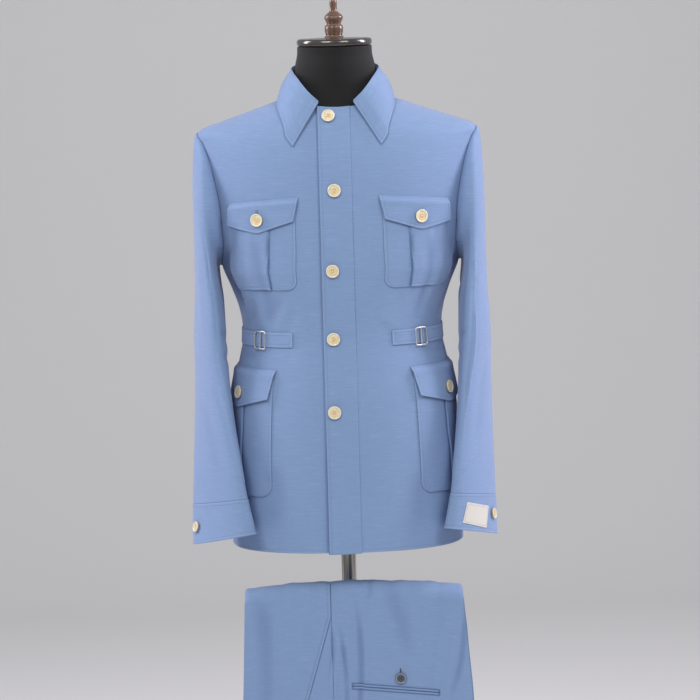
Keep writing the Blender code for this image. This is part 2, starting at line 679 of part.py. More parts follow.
def build_placket(left_front):
    """The strip along the closing edge of the left front."""
    strip = np.s_[:, :len(LAP_LINES)]
    points = left_front["points"][strip] + left_front["normals"][strip] * (SEAM + CLOTH)
    grid_wall("placket", points, left_front["normals"][strip], "suit_cloth")


def build_sleeves():
    """Top sleeve, under sleeve and cuff on each side; returns the cuffs' surfaces."""
    cuffs = {}
    first, last = UNDER_SLEEVE_COLUMNS
    parts = (("under_sleeve_", np.arange(first, last + 1)),
             ("top_sleeve_", np.arange(last, ARM_COLUMN_COUNT + first + 1) % ARM_COLUMN_COUNT))
    for side, name in ((1, "left"), (-1, "right")):
        points, normals = sleeve(name)
        points, normals = flip(points, side), flip(normals, side)
        for part_name, around in parts:
            piece = points[:CUFF_ROW + 1][:, around]
            facing = normals[:CUFF_ROW + 1][:, around]
            piece = pulled_in(piece, facing, ("left", "right", "top"), SEAM / 2)
            grid_wall(part_name + name, piece, facing, "suit_cloth")
        cuffs[side] = build_cuff(name, side)
    return cuffs


def build_cuff(name, side):
    """The cuff: the sleeve's tube below its seam, a little proud of it."""
    rows = np.linspace(CUFF_ROW, len(ARM_ROWS) - 1, 3)
    around = np.arange(ARM_COLUMN_COUNT)
    points = sleeve_grid(rows, around, name)
    normals = grid_normals(points, wrap=True)
    points = pulled_in(points + normals * CUFF_PROUD, normals, ("bottom",), SEAM, wrap=True)
    points, normals = flip(points, side), flip(normals, side)
    grid_wall("cuff_" + name, points, normals, "suit_cloth", FUSED_CLOTH, wrap=True)
    return points, normals


def cuff_place(side_name, side, column, row, lift):
    """The frame of a place on the cuff, for a button or the woven patch."""
    rows = np.array([row - 0.1, row, row + 0.1])
    around = np.array([column - 0.1, column, column + 0.1])
    points = sleeve_grid(rows, around, side_name)
    normal = flip(grid_normals(points)[1, 1], side)
    return place_frame(flip(points[1, 1], side) + normal * (CUFF_PROUD + lift), normal)


def pocket_outline(pocket, place):
    """A patch pocket's outline with round lower corners."""
    top_in = place(pocket["inner"], pocket["top"])
    top_out = place(pocket["outer"], pocket["top"])
    low_in = place(pocket["inner"], pocket["bottom"])
    low_out = place(pocket["outer"], pocket["bottom"])
    outline = [top_in]
    outline += rounded_corner(top_in, low_in, low_out, pocket["corner"])
    outline += rounded_corner(low_in, low_out, top_out, pocket["corner"])
    outline.append(top_out)
    return outline


def build_pocket(name, base, side, pocket, place):
    """A patch pocket whose box pleat is raised in its outer face."""
    outline = mirrored(pocket_outline(pocket, place), side)
    edges = []
    for limit, turn_in in zip(pocket["pleat"], (1, -1)):
        base_line = [place(limit, pocket["top"]), place(limit, pocket["bottom"])]
        step = PLEAT_EDGE * turn_in
        edges.append(mirrored(base_line, side))
        edges.append(mirrored([(across + step, up) for across, up in base_line], side))
    starts = [place(limit, pocket["bottom"])[0] for limit in pocket["pleat"]]
    tops = [place(limit, pocket["top"])[0] for limit in pocket["pleat"]]

    def raised(where):
        share = ramp(where[:, 1], pocket["bottom"], pocket["top"])
        inner_line = starts[0] + (tops[0] - starts[0]) * share
        outer_line = starts[1] + (tops[1] - starts[1]) * share
        across = where[:, 0] * side
        inner_rise = ramp(across, inner_line, inner_line + PLEAT_EDGE)
        outer_rise = ramp(across, outer_line, outer_line - PLEAT_EDGE)
        return PLEAT_RISE * inner_rise * outer_rise

    applique(name, base, outline, "suit_cloth", SEAM, CLOTH, edges, raised)


def build_flap(name, base, side, flap, place):
    """A pointed flap that steps up over the patch below it."""
    corners = [place(*flap["top"][0]), place(*flap["inner"]), place(*flap["tip"]), place(*flap["outer"]),
               place(*flap["top"][1])]
    first = np.array(corners[0])
    last = np.array(corners[-1])
    high = 2 * SEAM + CLOTH + PLEAT_RISE
    down = np.array([0.0, -FLAP_STEP])
    step_line = mirrored([tuple(first + down), tuple(last + down)], side)

    def lift(where):
        across = where[:, 0] * side
        top_line = first[1] + (last[1] - first[1]) * (across - first[0]) / (last[0] - first[0])
        return SEAM + (high - SEAM) * ramp(where[:, 1], top_line, top_line - FLAP_STEP)

    applique(name, base, mirrored(corners, side), "suit_cloth", lift, CLOTH, [step_line])


def build_pockets(fronts):
    """Chest and hip pockets, flaps and their buttons on both fronts."""
    above_flap = 2 * SEAM + CLOTH + PLEAT_RISE + CLOTH + BUTTON["gap"]
    for side, name in ((1, "left"), (-1, "right")):
        base = fronts[side]
        build_pocket("chest_pocket_" + name, base, side, CHEST_POCKET, flat_x)
        build_flap("chest_flap_" + name, base, side, CHEST_FLAP, flat_x)
        build_pocket("hip_pocket_" + name, base, side, HIP_POCKET, flat_degrees)
        build_flap("hip_flap_" + name, base, side, HIP_FLAP, flat_degrees)
        chest_x = CHEST_FLAP["tip"][0] * side
        button("chest_button_" + name, surface_frame(chest_x, FLAP_BUTTON_DROP["chest"], above_flap))
        hip_angle = math.radians(HIP_FLAP["tip"][0]) * side
        hip_ring = ring_at(FLAP_BUTTON_DROP["hip"])
        button("hip_button_" + name, frame_on(hip_ring, hip_angle, above_flap))


def build_waist_tabs(fronts):
    """A tab from the front, one from the side seam, and the slide buckle where they meet."""
    low, high = TAB["bottom"], TAB["top"]
    for side, name in ((1, "left"), (-1, "right")):
        tip = flat_x(TAB["front"], low)[0]
        split = flat_x(BUCKLE_X[name], low)[0]
        end = flat_degrees(TAB["side"], low)[0]
        half_seam = SEAM / 2
        front_part = [(tip, low + TAB["tip"]), (tip + TAB["tip"], low), (split - half_seam, low),
                      (split - half_seam, high), (tip + TAB["tip"], high), (tip, high - TAB["tip"])]
        side_part = [(split + half_seam, low), (end, low), (end, high), (split + half_seam, high)]
        applique("tab_front_" + name, fronts[side], mirrored(front_part, side), "suit_cloth", SEAM, CLOTH)
        applique("tab_side_" + name, fronts[side], mirrored(side_part, side), "suit_cloth", SEAM, CLOTH)
        build_buckle("buckle_" + name, side)


def build_buckle(name, side):
    """A flat slide buckle with two slots between three upright bars."""
    half_width, half_height = BUCKLE["width"] / 2, BUCKLE["height"] / 2
    bar = BUCKLE["bar"]
    across = (-half_width, -half_width + bar, -bar / 2, bar / 2, half_width - bar, half_width)
    up = (-half_height, -half_height + bar, half_height - bar, half_height)
    slots = {(1, 1), (3, 1)}
    count = len(across)
    local = [(x, z, 0.0) for z in up for x in across]
    starts = [row * count + cell for row in range(len(up) - 1) for cell in range(count - 1)
              if (cell, row) not in slots]
    quads = [(start, start + 1, start + count + 1, start + count) for start in starts]
    triangles = [tri for a, b, c, d in quads for tri in ((a, b, c), (a, c, d))]
    lift = SEAM + CLOTH + BUCKLE["gap"]
    frame = surface_frame(BUCKLE_X[name.split("_")[-1]] * side, BUCKLE["z"], lift)
    inner = placed(frame, local)
    outer = inner + frame[3] * BUCKLE["thick"]
    wall(name, outer, inner, triangles, "buckle_metal")


def build_front_buttons():
    """The five buttons down the placket."""
    lift = 2 * CLOTH + SEAM + BUTTON["gap"]
    for index, (x, z) in enumerate(FRONT_BUTTONS, 1):
        button("front_button_%d" % index, surface_frame(x, z, lift))


def build_cuff_trims():
    """One button on each cuff's outer side, and the blank woven patch on the left one."""
    for side, name in ((1, "left"), (-1, "right")):
        column, row = CUFF_BUTTONS[name]
        frame = cuff_place(name, side, column, row, BUTTON["gap"])
        button("cuff_button_" + name, frame, SMALL_BUTTON_RADIUS)
    build_patch()


def build_patch():
    """The blank woven patch, a little tilted on the left cuff's outer side."""
    rows = np.linspace(CUFF_ROW, len(ARM_ROWS) - 1, 3)
    around = np.arange(-2, 6)
    points = sleeve_grid(rows, np.arange(ARM_COLUMN_COUNT), "left")
    normals = grid_normals(points, wrap=True)
    points = pulled_in(points + normals * CUFF_PROUD, normals, ("bottom",), SEAM, wrap=True)
    points = points[:, around % ARM_COLUMN_COUNT]
    normals = normals[:, around % ARM_COLUMN_COUNT]
    steps = np.linalg.norm(np.diff(points[1], axis=0), axis=1)
    across = np.concatenate([[0.0], np.cumsum(steps)])
    places = np.stack(np.broadcast_arrays(across[None, :], -rows[:, None] * CUFF_LENGTH), axis=-1)
    base = {"points": points, "normals": normals, "flat": places}
    middle = np.array([np.interp(PATCH_LABEL["column"], around, across), -PATCH_LABEL["row"] * CUFF_LENGTH])
    half = np.array([PATCH_LABEL["width"] / 2, PATCH_LABEL["height"] / 2])
    cosine, sine = math.cos(PATCH_LABEL["tilt"]), math.sin(PATCH_LABEL["tilt"])
    turn = np.array([[cosine, -sine], [sine, cosine]])
    corners = ((-1, -1), (1, -1), (1, 1), (-1, 1))
    outline = [tuple(middle + turn @ (half * np.array(sign))) for sign in corners]
    applique("sleeve_patch", base, outline, "patch_woven", SEAM, PATCH_LABEL["thick"])


def collar_rows(shares):
    """The fold line, the leaf's edge and its bulge at shares from one front end round to the other."""
    half = 1 - np.abs(shares)
    side = np.sign(shares)
    side = np.where(side == 0, 1, side)
    row = np.interp(half, COLLAR["share"], np.arange(len(COLLAR_ROWS)))
    fold = np.stack([along(COLLAR["fold_x"], row) * side, along(COLLAR["fold_y"], row),
                     along(COLLAR["fold_z"], row)], axis=-1)
    ring = along(COLLAR["edge_ring"], row)
    angle = np.radians(along(COLLAR["edge_angle"], row)) * side
    edge = body(ring, angle) + body_normal(ring, angle) * COLLAR_LIFT
    return fold, edge, along(COLLAR["bulge"], row)


def build_collar():
    """The stand round the neckline and the leaf that folds down over it."""
    shares = np.linspace(-1, 1, COLLAR_CELLS + 1)
    fold, edge, bulge = collar_rows(shares)
    out = unit(fold * np.array([1.0, 1.0, 0.0]))
    clear_x = np.sign(fold[:, 0]) * np.maximum(np.abs(fold[:, 0]), STAND_END_X)
    fold_angle = np.arctan2(clear_x / RING["half_width"][-1], -fold[:, 1] / RING["front_depth"][-1])
    back_angle = np.arctan2(fold[:, 0] / RING["half_width"][-1], -fold[:, 1] / RING["back_depth"][-1])
    neckline = body(NECK_RING, np.where(fold[:, 1] < 0, fold_angle, back_angle))
    neckline = neckline + np.array([0.0, 0.0, SEAM])
    middle = (neckline + fold) / 2 - out * CROWN
    stand = np.stack([fold, middle, neckline])
    grid_wall("collar_stand", stand, np.broadcast_to(out, stand.shape), "suit_cloth", COLLAR_STAND_WALL)
    up = np.array([0.0, 0.0, 1.0])
    crown = fold + up * (CLOTH + CROWN) + out * CROWN
    shoulder = fold + out * COLLAR_ROLL - up * 2 * CROWN
    leaf_out = unit(unit(edge - fold) * -0.5 + out)
    rows = [crown, shoulder]
    for part in LEAF_PARTS:
        lift = bulge * math.sin(math.pi * part)
        rows.append(shoulder + (edge - shoulder) * part + leaf_out * lift[:, None])
    leaf = np.stack(rows)
    normals = grid_normals(leaf)
    normals[0] = unit(up + out * 0.2)
    grid_wall("collar_leaf", leaf, normals, "suit_cloth")


def build_form():
    """The torso, cap, finial, pole and base."""
    rows = np.arange(len(FORM_RINGS), dtype=float)[:, None]
    angles = (np.arange(FORM_SIDES) * 2 * math.pi / FORM_SIDES)[None, :]
    sine, cosine = np.sin(angles), np.cos(angles)
    roundness = along(FORM["roundness"], rows)
    reach = (np.abs(sine) ** roundness + np.abs(cosine) ** roundness) ** (-1 / roundness)
    depth = np.where(cosine > 0, along(FORM["front_depth"], rows), along(FORM["back_depth"], rows))
    x = along(FORM["half_width"], rows) * sine * reach
    z = np.broadcast_to(along(FORM["z"], rows), x.shape)
    points = np.stack([x, -depth * cosine * reach, z], axis=-1)
    triangles = [tuple(map(int, tri)) for tri in grid_triangles(len(FORM_RINGS), FORM_SIDES, wrap=True)]
    top_start = (len(FORM_RINGS) - 1) * FORM_SIDES
    ends = [tuple(range(FORM_SIDES)), tuple(range(top_start, top_start + FORM_SIDES))]
    add_mesh("form_torso", points.reshape(-1, 3), triangles + ends, "form_cloth")
    turned("neck_cap", NECK_CAP, "cap_gloss", 24)
    turned("finial", FINIAL, "turned_wood", 14)
    turned("base", BASE, "base_paint", 40)
    pole_low = BASE[-1][1] + SEAM
    pole_high = FORM_RINGS[0][0] - SEAM
    pole = ((0.0, pole_low), (POLE_RADIUS, pole_low), (POLE_RADIUS, pole_high), (0.0, pole_high))
    turned("pole", pole, "pole_chrome", 20)


def fold_top(x):
    """The height of the trousers' fold above the bar, lower towards its ends."""
    return TROUSER_TOP - TROUSER_ARCH * (x / TROUSER_HALF) ** 2


def drape(x, travel, depth):
    """A place in the trousers: across, along the path from the fold (back is positive) and below the face."""
    centre_z = fold_top(x) - FOLD_RADIUS
    quarter = FOLD_RADIUS * math.pi / 2
    turn = np.clip(travel / FOLD_RADIUS, -math.pi / 2, math.pi / 2)
    straight = np.maximum(np.abs(travel) - quarter, 0.0)
    puff = TROUSER_PUFF * np.sin(np.clip(straight / 0.27, 0, 1) * math.pi) ** 2
    radius = FOLD_RADIUS + puff - depth
    y = TROUSER_AXIS_Y + radius * np.sin(turn)
    z = centre_z + radius * np.cos(turn) - straight
    return np.stack(np.broadcast_arrays(x, y, z), axis=-1)


def travel_to(x, z):
    """The travel down the front drop at which the path reaches a height."""
    return z - fold_top(x) + FOLD_RADIUS * (1 - math.pi / 2)


def flat_trousers(x, z):
    """A place on the unrolled trousers, straight wherever the drop is straight."""
    return (x, z - TROUSER_TOP + FOLD_RADIUS * (1 - math.pi / 2))


def side_x(edge, travel):
    """The trousers' left or right edge at a travel; the legs behind narrow to the knee."""
    down = np.maximum(np.abs(travel) - FOLD_RADIUS, 0.0)
    z = TROUSER_TOP - down
    x = np.interp(z, SIDES["z"], SIDES[edge])
    behind = np.clip(travel, 0.0, 0.3) / 0.3
    fold_x = SIDES[edge][-1]
    return np.where(travel > 0, fold_x - np.sign(fold_x) * BACK_TAPER * behind, x)


def waist_z(x):
    """The seam between the panels and the waistband, which drops towards the centre back."""
    return WAIST_Z - WAIST_TILT * np.maximum(x - SIDE_SEAM_X, 0.0)


def trouser_travels(ends):
    """The rows of the folded trousers: down the front drop, round the fold and down the back drop."""
    fold = np.linspace(-1, 1, FOLD_CELLS + 1) * FOLD_RADIUS * math.pi / 2
    front = np.linspace(ends[0], fold[0], DROP_CELLS + 1)[:-1]
    back = np.linspace(fold[-1], ends[1], DROP_CELLS + 1)[1:]
    return np.concatenate([front, fold, back])


def trouser_base():
    """The faceted outer surface that the trouser panels are cut from."""
    travels = trouser_travels(PANEL_ENDS)[:, None]
    shares = np.array(PANEL_SHARES)[None, :]
    left, right = side_x("left", travels), side_x("right", travels)
    x = left + (right - left) * shares
    travel = np.broadcast_to(travels, x.shape)
    points = drape(x, travel, 0.0)
    normals = unit(drape(x, travel, 0.0) - drape(x, travel, 0.004))
    places = np.stack([x, travel + fold_top(x) - TROUSER_TOP], axis=-1)
    return {"points": points, "normals": normals, "flat": places}


def build_trousers():
    """Front, pocket facing and back on the shared fold, then the core, waistband, welt and button."""
    base = trouser_base()
    half = SEAM / 2
    far = 2 * PANEL_RIGHT
    slant_top = flat_trousers(*SLANT[0])
    slant_low = flat_trousers(*SLANT[1])
    seam_x = SIDE_SEAM_X
    waist = flat_trousers(seam_x, WAIST_Z)[1] + half
    right_waist = flat_trousers(PANEL_RIGHT, waist_z(PANEL_RIGHT))[1] + half
    share = (waist - slant_top[1]) / (slant_low[1] - slant_top[1])
    slant_waist_x = slant_top[0] + (slant_low[0] - slant_top[0]) * share
    front = [(-far, waist), (slant_waist_x - half, waist), (seam_x - half, slant_top[1]),
             (seam_x - half, far),
             (-far, far)]
    facing = [(slant_waist_x + half, waist), (seam_x - half, waist), (seam_x - half, slant_top[1] - 2 * half)]
    back = [(seam_x + half, waist), (PANEL_RIGHT, right_waist), (PANEL_RIGHT, far), (seam_x + half, far)]
    applique("trouser_front", base, front, "suit_cloth", -CLOTH, CLOTH)
    applique("trouser_pocket_facing", base, facing, "suit_cloth", -CLOTH, CLOTH)
    applique("trouser_back", base, back, "suit_cloth", -CLOTH, CLOTH)
    build_welt(base)
    build_trouser_core()
    build_waistband()


def build_welt(base):
    """The back pocket's welt with the button beyond it."""
    left = np.array(WELT["left"])
    right = np.array(WELT["right"])
    drop = np.array([0.0, -WELT["height"]])
    corners = [left, right, right + drop, left + drop]
    outline = [flat_trousers(float(x), float(z)) for x, z in corners]
    applique("trouser_welt", base, outline, "suit_cloth", WELT["lift"], WELT["thick"])
    x, z = TROUSER_BUTTON
    place = drape(np.array(x), np.array(travel_to(x, z)), -BUTTON["gap"])
    frame = place_frame(place, np.array([0.0, -1.0, 0.0]))
    button("trouser_button", frame, SMALL_BUTTON_RADIUS, "button_dark")


def build_trouser_core():
    """The hidden layers of both legs as one solid whose side edges show as separate layers."""
    outer_depth = CLOTH + SEAM
    edge_pull = np.array(CORE_PULL)
    edge_depths = outer_depth + CORE_THICK * np.linspace(0, 1, len(CORE_PULL))
    face_shares = np.array(PANEL_SHARES)
    quarter = FOLD_RADIUS * math.pi / 2
    loops = []
    for travel in trouser_travels(CORE_ENDS):
        left, right = float(side_x("left", travel)), float(side_x("right", travel))
        x_face = left + (right - left) * face_shares
        x_face[0] += edge_pull[0]
        x_face[-1] -= edge_pull[0]
        x_back = x_face[::-2].copy()
        x_back[0] = right - edge_pull[-1]
        x_back[-1] = left + edge_pull[-1]
        x_loop = np.concatenate([x_face, right - edge_pull[1:-1], x_back, (left + edge_pull[1:-1])[::-1]])
        depth = np.concatenate([np.full(len(x_face), outer_depth), edge_depths[1:-1],
                                np.full(len(x_back), edge_depths[-1]), edge_depths[1:-1][::-1]])
        reach = np.full(len(x_loop), travel)
        if travel < -quarter:
            limit = travel_to(x_loop, waist_z(x_loop) - BAND_HEIGHT + CORE_PULL[1])
            reach = -quarter + (limit + quarter) * (travel + quarter) / (CORE_ENDS[0] + quarter)
        loops.append(drape(x_loop, reach, depth))
    points = np.stack(loops)
    count = points.shape[1]
    triangles = [tuple(map(int, tri)) for tri in grid_triangles(len(points), count, wrap=True)]
    last = (len(points) - 1) * count
    ends = [tuple(range(count)), tuple(range(last, last + count))]
    add_mesh("trouser_core", points.reshape(-1, 3), triangles + ends, "suit_cloth")


def build_waistband():
    """The waistband: a flattened ring round the bottom of the front drop."""
    behind = CLOTH + SEAM + CORE_THICK + 2 * SEAM + CLOTH
    edges = [side_x(edge, travel_to(SIDES[edge][0], waist_z(SIDES[edge][0]))) for edge in ("left", "right")]
    rows = []
    inner_rows = []
    for drop in (SEAM / 2, BAND_HEIGHT / 2, BAND_HEIGHT):
        outer, inner = [], []
        for x_share, depth_share in band_loop():
            near_x = float(np.interp(x_share, (-1, 1), edges))
            near_travel = float(travel_to(near_x, waist_z(near_x) - drop))
            left = float(side_x("left", near_travel)) - BAND_MARGIN
            right = float(side_x("right", near_travel)) + BAND_MARGIN
            middle, half = (left + right) / 2, (right - left) / 2
            outer_x = middle + half * x_share
            travel = float(travel_to(outer_x, waist_z(outer_x) - drop))
            for store, shrink in ((outer, 0.0), (inner, CLOTH)):
                x = middle + (half - shrink) * x_share
                span = (shrink - BAND_PROUD, behind - shrink)
                depth = span[0] + (span[1] - span[0]) * depth_share
                store.append(drape(np.array(x), np.array(travel), depth))
        rows.append(outer)
        inner_rows.append(inner)
    outer, inner = np.array(rows), np.array(inner_rows)
    triangles = grid_triangles(len(rows), outer.shape[1], wrap=True)
    wall("waistband", outer.reshape(-1, 3), inner.reshape(-1, 3), triangles, "suit_cloth")


def band_loop():
    """Shares across and through the waistband's flattened ring, face side first."""
    face = [(share, 0.0) for share in BAND_SHARES]
    right = [(1.0, 0.25), (1.0, 0.75)]
    behind = [(share, 1.0) for share in BAND_SHARES[::-2]]
    left = [(-1.0, 0.75), (-1.0, 0.25)]
    return face + right + behind + left


def build_trouser_stand():
    """The post on the base and the arched bar that carries the trousers."""
    bar_z = TROUSER_TOP - FOLD_RADIUS
    sides = 12
    stations = np.linspace(-BAR_HALF, BAR_HALF, 9)
    turns = np.arange(sides) * 2 * math.pi / sides
    centre_z = fold_top(stations) - FOLD_RADIUS
    points = np.array([[(x, TROUSER_AXIS_Y + BAR_RADIUS * math.cos(turn), z + BAR_RADIUS * math.sin(turn))
                        for turn in turns] for x, z in zip(stations, centre_z)])
    triangles = [tuple(map(int, tri)) for tri in grid_triangles(len(stations), sides, wrap=True)]
    last = (len(stations) - 1) * sides
    ends = [tuple(range(sides)), tuple(range(last, last + sides))]
    add_mesh("trouser_bar", points.reshape(-1, 3), triangles + ends, "base_paint")
    low = BASE[4][1] + SEAM
    high = bar_z - BAR_RADIUS - SEAM
    post = ((0.0, low), (POST_RADIUS, low), (POST_RADIUS, high), (0.0, high))
    turned("trouser_post", post, "base_paint", 16, centre=(0.0, TROUSER_AXIS_Y))


def main():
    """Builds every piece of the suit, its form and its stand."""
    clear_scene()
    fronts = build_fronts_and_back()
    build_placket(fronts[1])
    build_sleeves()
    build_pockets(fronts)
    build_waist_tabs(fronts)
    build_front_buttons()
    build_cuff_trims()
    build_collar()
    build_form()
    build_trousers()
    build_trouser_stand()


main()
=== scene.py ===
"""Safari suit on a limbless dress form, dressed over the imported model.

Metres, +Z up, front towards -Y, +X is the wearer's left. Every cloth piece is a thin wall on a surface
that is a function of two numbers, and everything lying on a surface follows that surface's folds.
"""

import math

import bpy
import numpy as np
from bpy.props import FloatProperty, FloatVectorProperty, PointerProperty
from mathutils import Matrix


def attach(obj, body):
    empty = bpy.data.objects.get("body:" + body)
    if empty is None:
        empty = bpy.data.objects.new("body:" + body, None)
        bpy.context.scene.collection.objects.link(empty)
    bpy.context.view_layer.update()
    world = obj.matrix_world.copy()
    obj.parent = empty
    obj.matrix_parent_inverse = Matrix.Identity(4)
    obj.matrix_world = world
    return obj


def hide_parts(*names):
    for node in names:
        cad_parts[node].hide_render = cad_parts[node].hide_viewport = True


bl_info = {
    "name": "Safari Suit",
    "version": (1, 0, 0),
    "blender": (4, 5, 0),
    "location": "View3D > Sidebar > Suit",
    "description": "Builds a safari jacket on a dress form, with its trousers folded over a bar",
    "category": "Object",
}

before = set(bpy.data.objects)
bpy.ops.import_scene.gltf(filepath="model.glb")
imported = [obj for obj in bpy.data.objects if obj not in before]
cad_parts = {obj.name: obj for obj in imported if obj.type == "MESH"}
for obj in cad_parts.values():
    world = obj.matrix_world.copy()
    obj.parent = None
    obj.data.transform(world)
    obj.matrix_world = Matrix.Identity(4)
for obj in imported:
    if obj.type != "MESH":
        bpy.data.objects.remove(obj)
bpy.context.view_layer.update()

# ---- Sizes shared with the model's source ----------------------------------------------------------

CLOTH = 0.0016
FUSED_CLOTH = 0.0020
SEAM = 0.0003
PLEAT_RISE = 0.0016
RING_COLUMNS = ("front_z", "side_z", "back_z", "half_width", "front_depth", "back_depth", "roundness",
                "front_edge", "back_edge")
RINGS = (
    (0.752, 0.752, 0.752, 0.1870, 0.1470, 0.1410, 2.35, 106, 106),
    (0.820, 0.820, 0.820, 0.1875, 0.1470, 0.1425, 2.35, 106, 106),
    (0.885, 0.885, 0.885, 0.1855, 0.1460, 0.1440, 2.35, 106, 106),
    (0.945, 0.945, 0.945, 0.1823, 0.1445, 0.1440, 2.35, 106, 106),
    (1.000, 1.000, 1.000, 0.1775, 0.1405, 0.1405, 2.35, 106, 106),
    (1.045, 1.045, 1.045, 0.1690, 0.1340, 0.1310, 2.35, 105, 105),
    (1.090, 1.090, 1.090, 0.1603, 0.1280, 0.1190, 2.35, 103, 103),
    (1.130, 1.130, 1.130, 0.1640, 0.1290, 0.1170, 2.35, 101, 101),
    (1.165, 1.165, 1.165, 0.1750, 0.1320, 0.1190, 2.35, 99, 99),
    (1.198, 1.198, 1.198, 0.1885, 0.1345, 0.1220, 2.35, 97, 97),
    (1.209, 1.209, 1.209, 0.1905, 0.1348, 0.1225, 2.33, 84, 106),
    (1.235, 1.235, 1.235, 0.1930, 0.1345, 0.1230, 2.31, 71, 112),
    (1.270, 1.270, 1.270, 0.1995, 0.1325, 0.1230, 2.30, 66, 114.5),
    (1.310, 1.310, 1.310, 0.2040, 0.1285, 0.1200, 2.30, 65.5, 114),
    (1.343, 1.345, 1.348, 0.2085, 0.1240, 0.1155, 2.30, 67.5, 112),
    (1.373, 1.378, 1.382, 0.2135, 0.1180, 0.1090, 2.26, 71, 109),
    (1.396, 1.403, 1.412, 0.2190, 0.1110, 0.1005, 2.18, 77, 103),
    (1.413, 1.421, 1.436, 0.2215, 0.1050, 0.0910, 1.96, 90, 90),
    (1.4265, 1.4385, 1.451, 0.1750, 0.0995, 0.0840, 1.94, 90, 90),
    (1.439, 1.4535, 1.465, 0.1310, 0.0940, 0.0775, 1.98, 90, 90),
    (1.449, 1.466, 1.477, 0.0950, 0.0888, 0.0718, 2.04, 90, 90),
    (1.4575, 1.473, 1.486, 0.0780, 0.0840, 0.0675, 2.10, 90, 90),
)
ARMPIT_RING = 9
SHOULDER_RING = 17
NECK_RING = len(RINGS) - 1
LAP_LEFT = -0.0305
LAP_RIGHT = 0.0215
UNDERLAP = 0.0022
ARM_COLUMNS = ("x", "y", "z", "long_half", "thin_half", "rise", "turn", "slope", "armhole_share", "swing")
ARM_ROWS = (
    (0.2060, -0.0010, 1.3100, 0.0545, 0.0180, 0.1110, 0, 0.0, 1.0, 0.0),
    (0.2108, 0.0, 1.3075, 0.0690, 0.0178, 0.1045, 0, 0.0, 0.7, 0.0),
    (0.2138, 0.0, 1.2960, 0.0760, 0.0178, 0.0960, 0, 0.0, 0.42, 0.0),
    (0.2143, 0.0, 1.2740, 0.0805, 0.0193, 0.0860, 0, 0.0, 0.2, 0.0),
    (0.2139, 0.0, 1.2410, 0.0830, 0.0213, 0.0690, 1, 0.0, 0.06, 0.0),
    (0.2127, -0.0010, 1.1960, 0.0835, 0.0227, 0.0440, 3, 0.0, 0.0, 0.0),
    (0.2124, -0.0030, 1.1425, 0.0820, 0.0232, 0.0225, 6, 0.0, 0.0, 0.0),
    (0.2136, -0.0090, 1.0830, 0.0790, 0.0243, 0.0050, 9, 0.0, 0.0, 0.05),
    (0.2119, -0.0220, 1.0150, 0.0755, 0.0222, 0.0, 14, 0.0020, 0.0, 0.18),
    (0.2091, -0.0410, 0.9450, 0.0715, 0.0216, 0.0, 19, 0.0040, 0.0, 0.38),
    (0.2060, -0.0595, 0.8850, 0.0680, 0.0210, 0.0, 25, 0.0075, 0.0, 0.60),
    (0.2032, -0.0725, 0.8310, 0.0655, 0.0205, 0.0, 30.5, 0.0098, 0.0, 0.80),
    (0.1975, -0.0875, 0.7725, 0.0620, 0.0218, 0.0, 40, 0.0125, 0.0, 1.0),
)
CUFF_ROW = 11
ARM_COLUMN_COUNT = 16
UNDER_SLEEVE_COLUMNS = (6, 12)
CUFF_PROUD = 0.0006
SWING = {"left": (0.0, 0.0), "right": (13.0, -0.0150)}
CHEST_POCKET = {"inner": 0.0680, "outer": 0.1700, "top": 1.2990, "bottom": 1.1720, "corner": 0.016,
                "pleat": (0.1100, 0.1440)}
CHEST_FLAP = {"top": ((0.0630, 1.3190), (0.1730, 1.3090)), "outer": (0.1745, 1.2740),
              "tip": (0.1275, 1.2620), "inner": (0.0715, 1.2810)}
HIP_POCKET = {"inner": 37.5, "outer": 94.5, "top": 1.0290, "bottom": 0.8410, "corner": 0.018,
              "pleat": (58.0, 71.0)}
HIP_FLAP = {"top": ((36.6, 1.0440), (97.0, 1.0440)), "outer": (95.0, 0.9970), "tip": (62.5, 0.9805),
            "inner": (39.5, 0.9970)}
FLAP_STEP = 0.010
FLAP_BUTTON_DROP = {"chest": 1.2835, "hip": 1.0045}
TAB = {"bottom": 1.0790, "top": 1.1035, "front": 0.0790, "side": 100.5, "tip": 0.0010}
BUCKLE = {"width": 0.0262, "height": 0.0305, "bar": 0.0026, "thick": 0.0016, "z": 1.0900,
          "gap": 0.0022}
BUCKLE_X = {"left": 0.1228, "right": 0.1285}
BUTTON = {"radius": 0.0107, "thick": 0.0036, "rim": 0.0026, "dish": 0.0010, "gap": 0.0006}
SMALL_BUTTON_RADIUS = 0.0088
FRONT_BUTTONS = ((-0.0125, 1.4430), (-0.0065, 1.3280), (-0.0125, 1.2020), (-0.0140, 1.0925),
                 (-0.0155, 0.9770))
CUFF_BUTTONS = {"left": (14.70, 11.50), "right": (14.20, 11.58)}
PATCH = {"width": 0.0600, "height": 0.0350, "column": 0.75, "row": 11.56, "tilt": 0.088, "thick": 0.0006}
COLLAR_COLUMNS = ("share", "fold_x", "fold_y", "fold_z", "edge_ring", "edge_angle", "bulge")
COLLAR_ROWS = (
    (0.00, 0.0272, -0.0815, 1.4662, 16.03, 18.1, 0.0010),
    (0.14, 0.0430, -0.0775, 1.4815, 17.62, 25.1, 0.0020),
    (0.32, 0.0585, -0.0570, 1.5010, 19.10, 45.2, 0.0035),
    (0.50, 0.0680, -0.0190, 1.5130, 20.05, 80.0, 0.0040),
    (0.66, 0.0665, 0.0210, 1.5180, 20.05, 113.0, 0.0035),
    (0.83, 0.0500, 0.0510, 1.5205, 19.90, 146.0, 0.0030),
    (1.00, 0.0000, 0.0690, 1.5215, 19.80, 180.0, 0.0030),
)
COLLAR_LIFT = 0.0042
COLLAR_STAND_WALL = 0.0014
COLLAR_ROLL = 0.0024
STAND_END_X = 0.0322
FORM_COLUMNS = ("z", "half_width", "front_depth", "back_depth", "roundness")
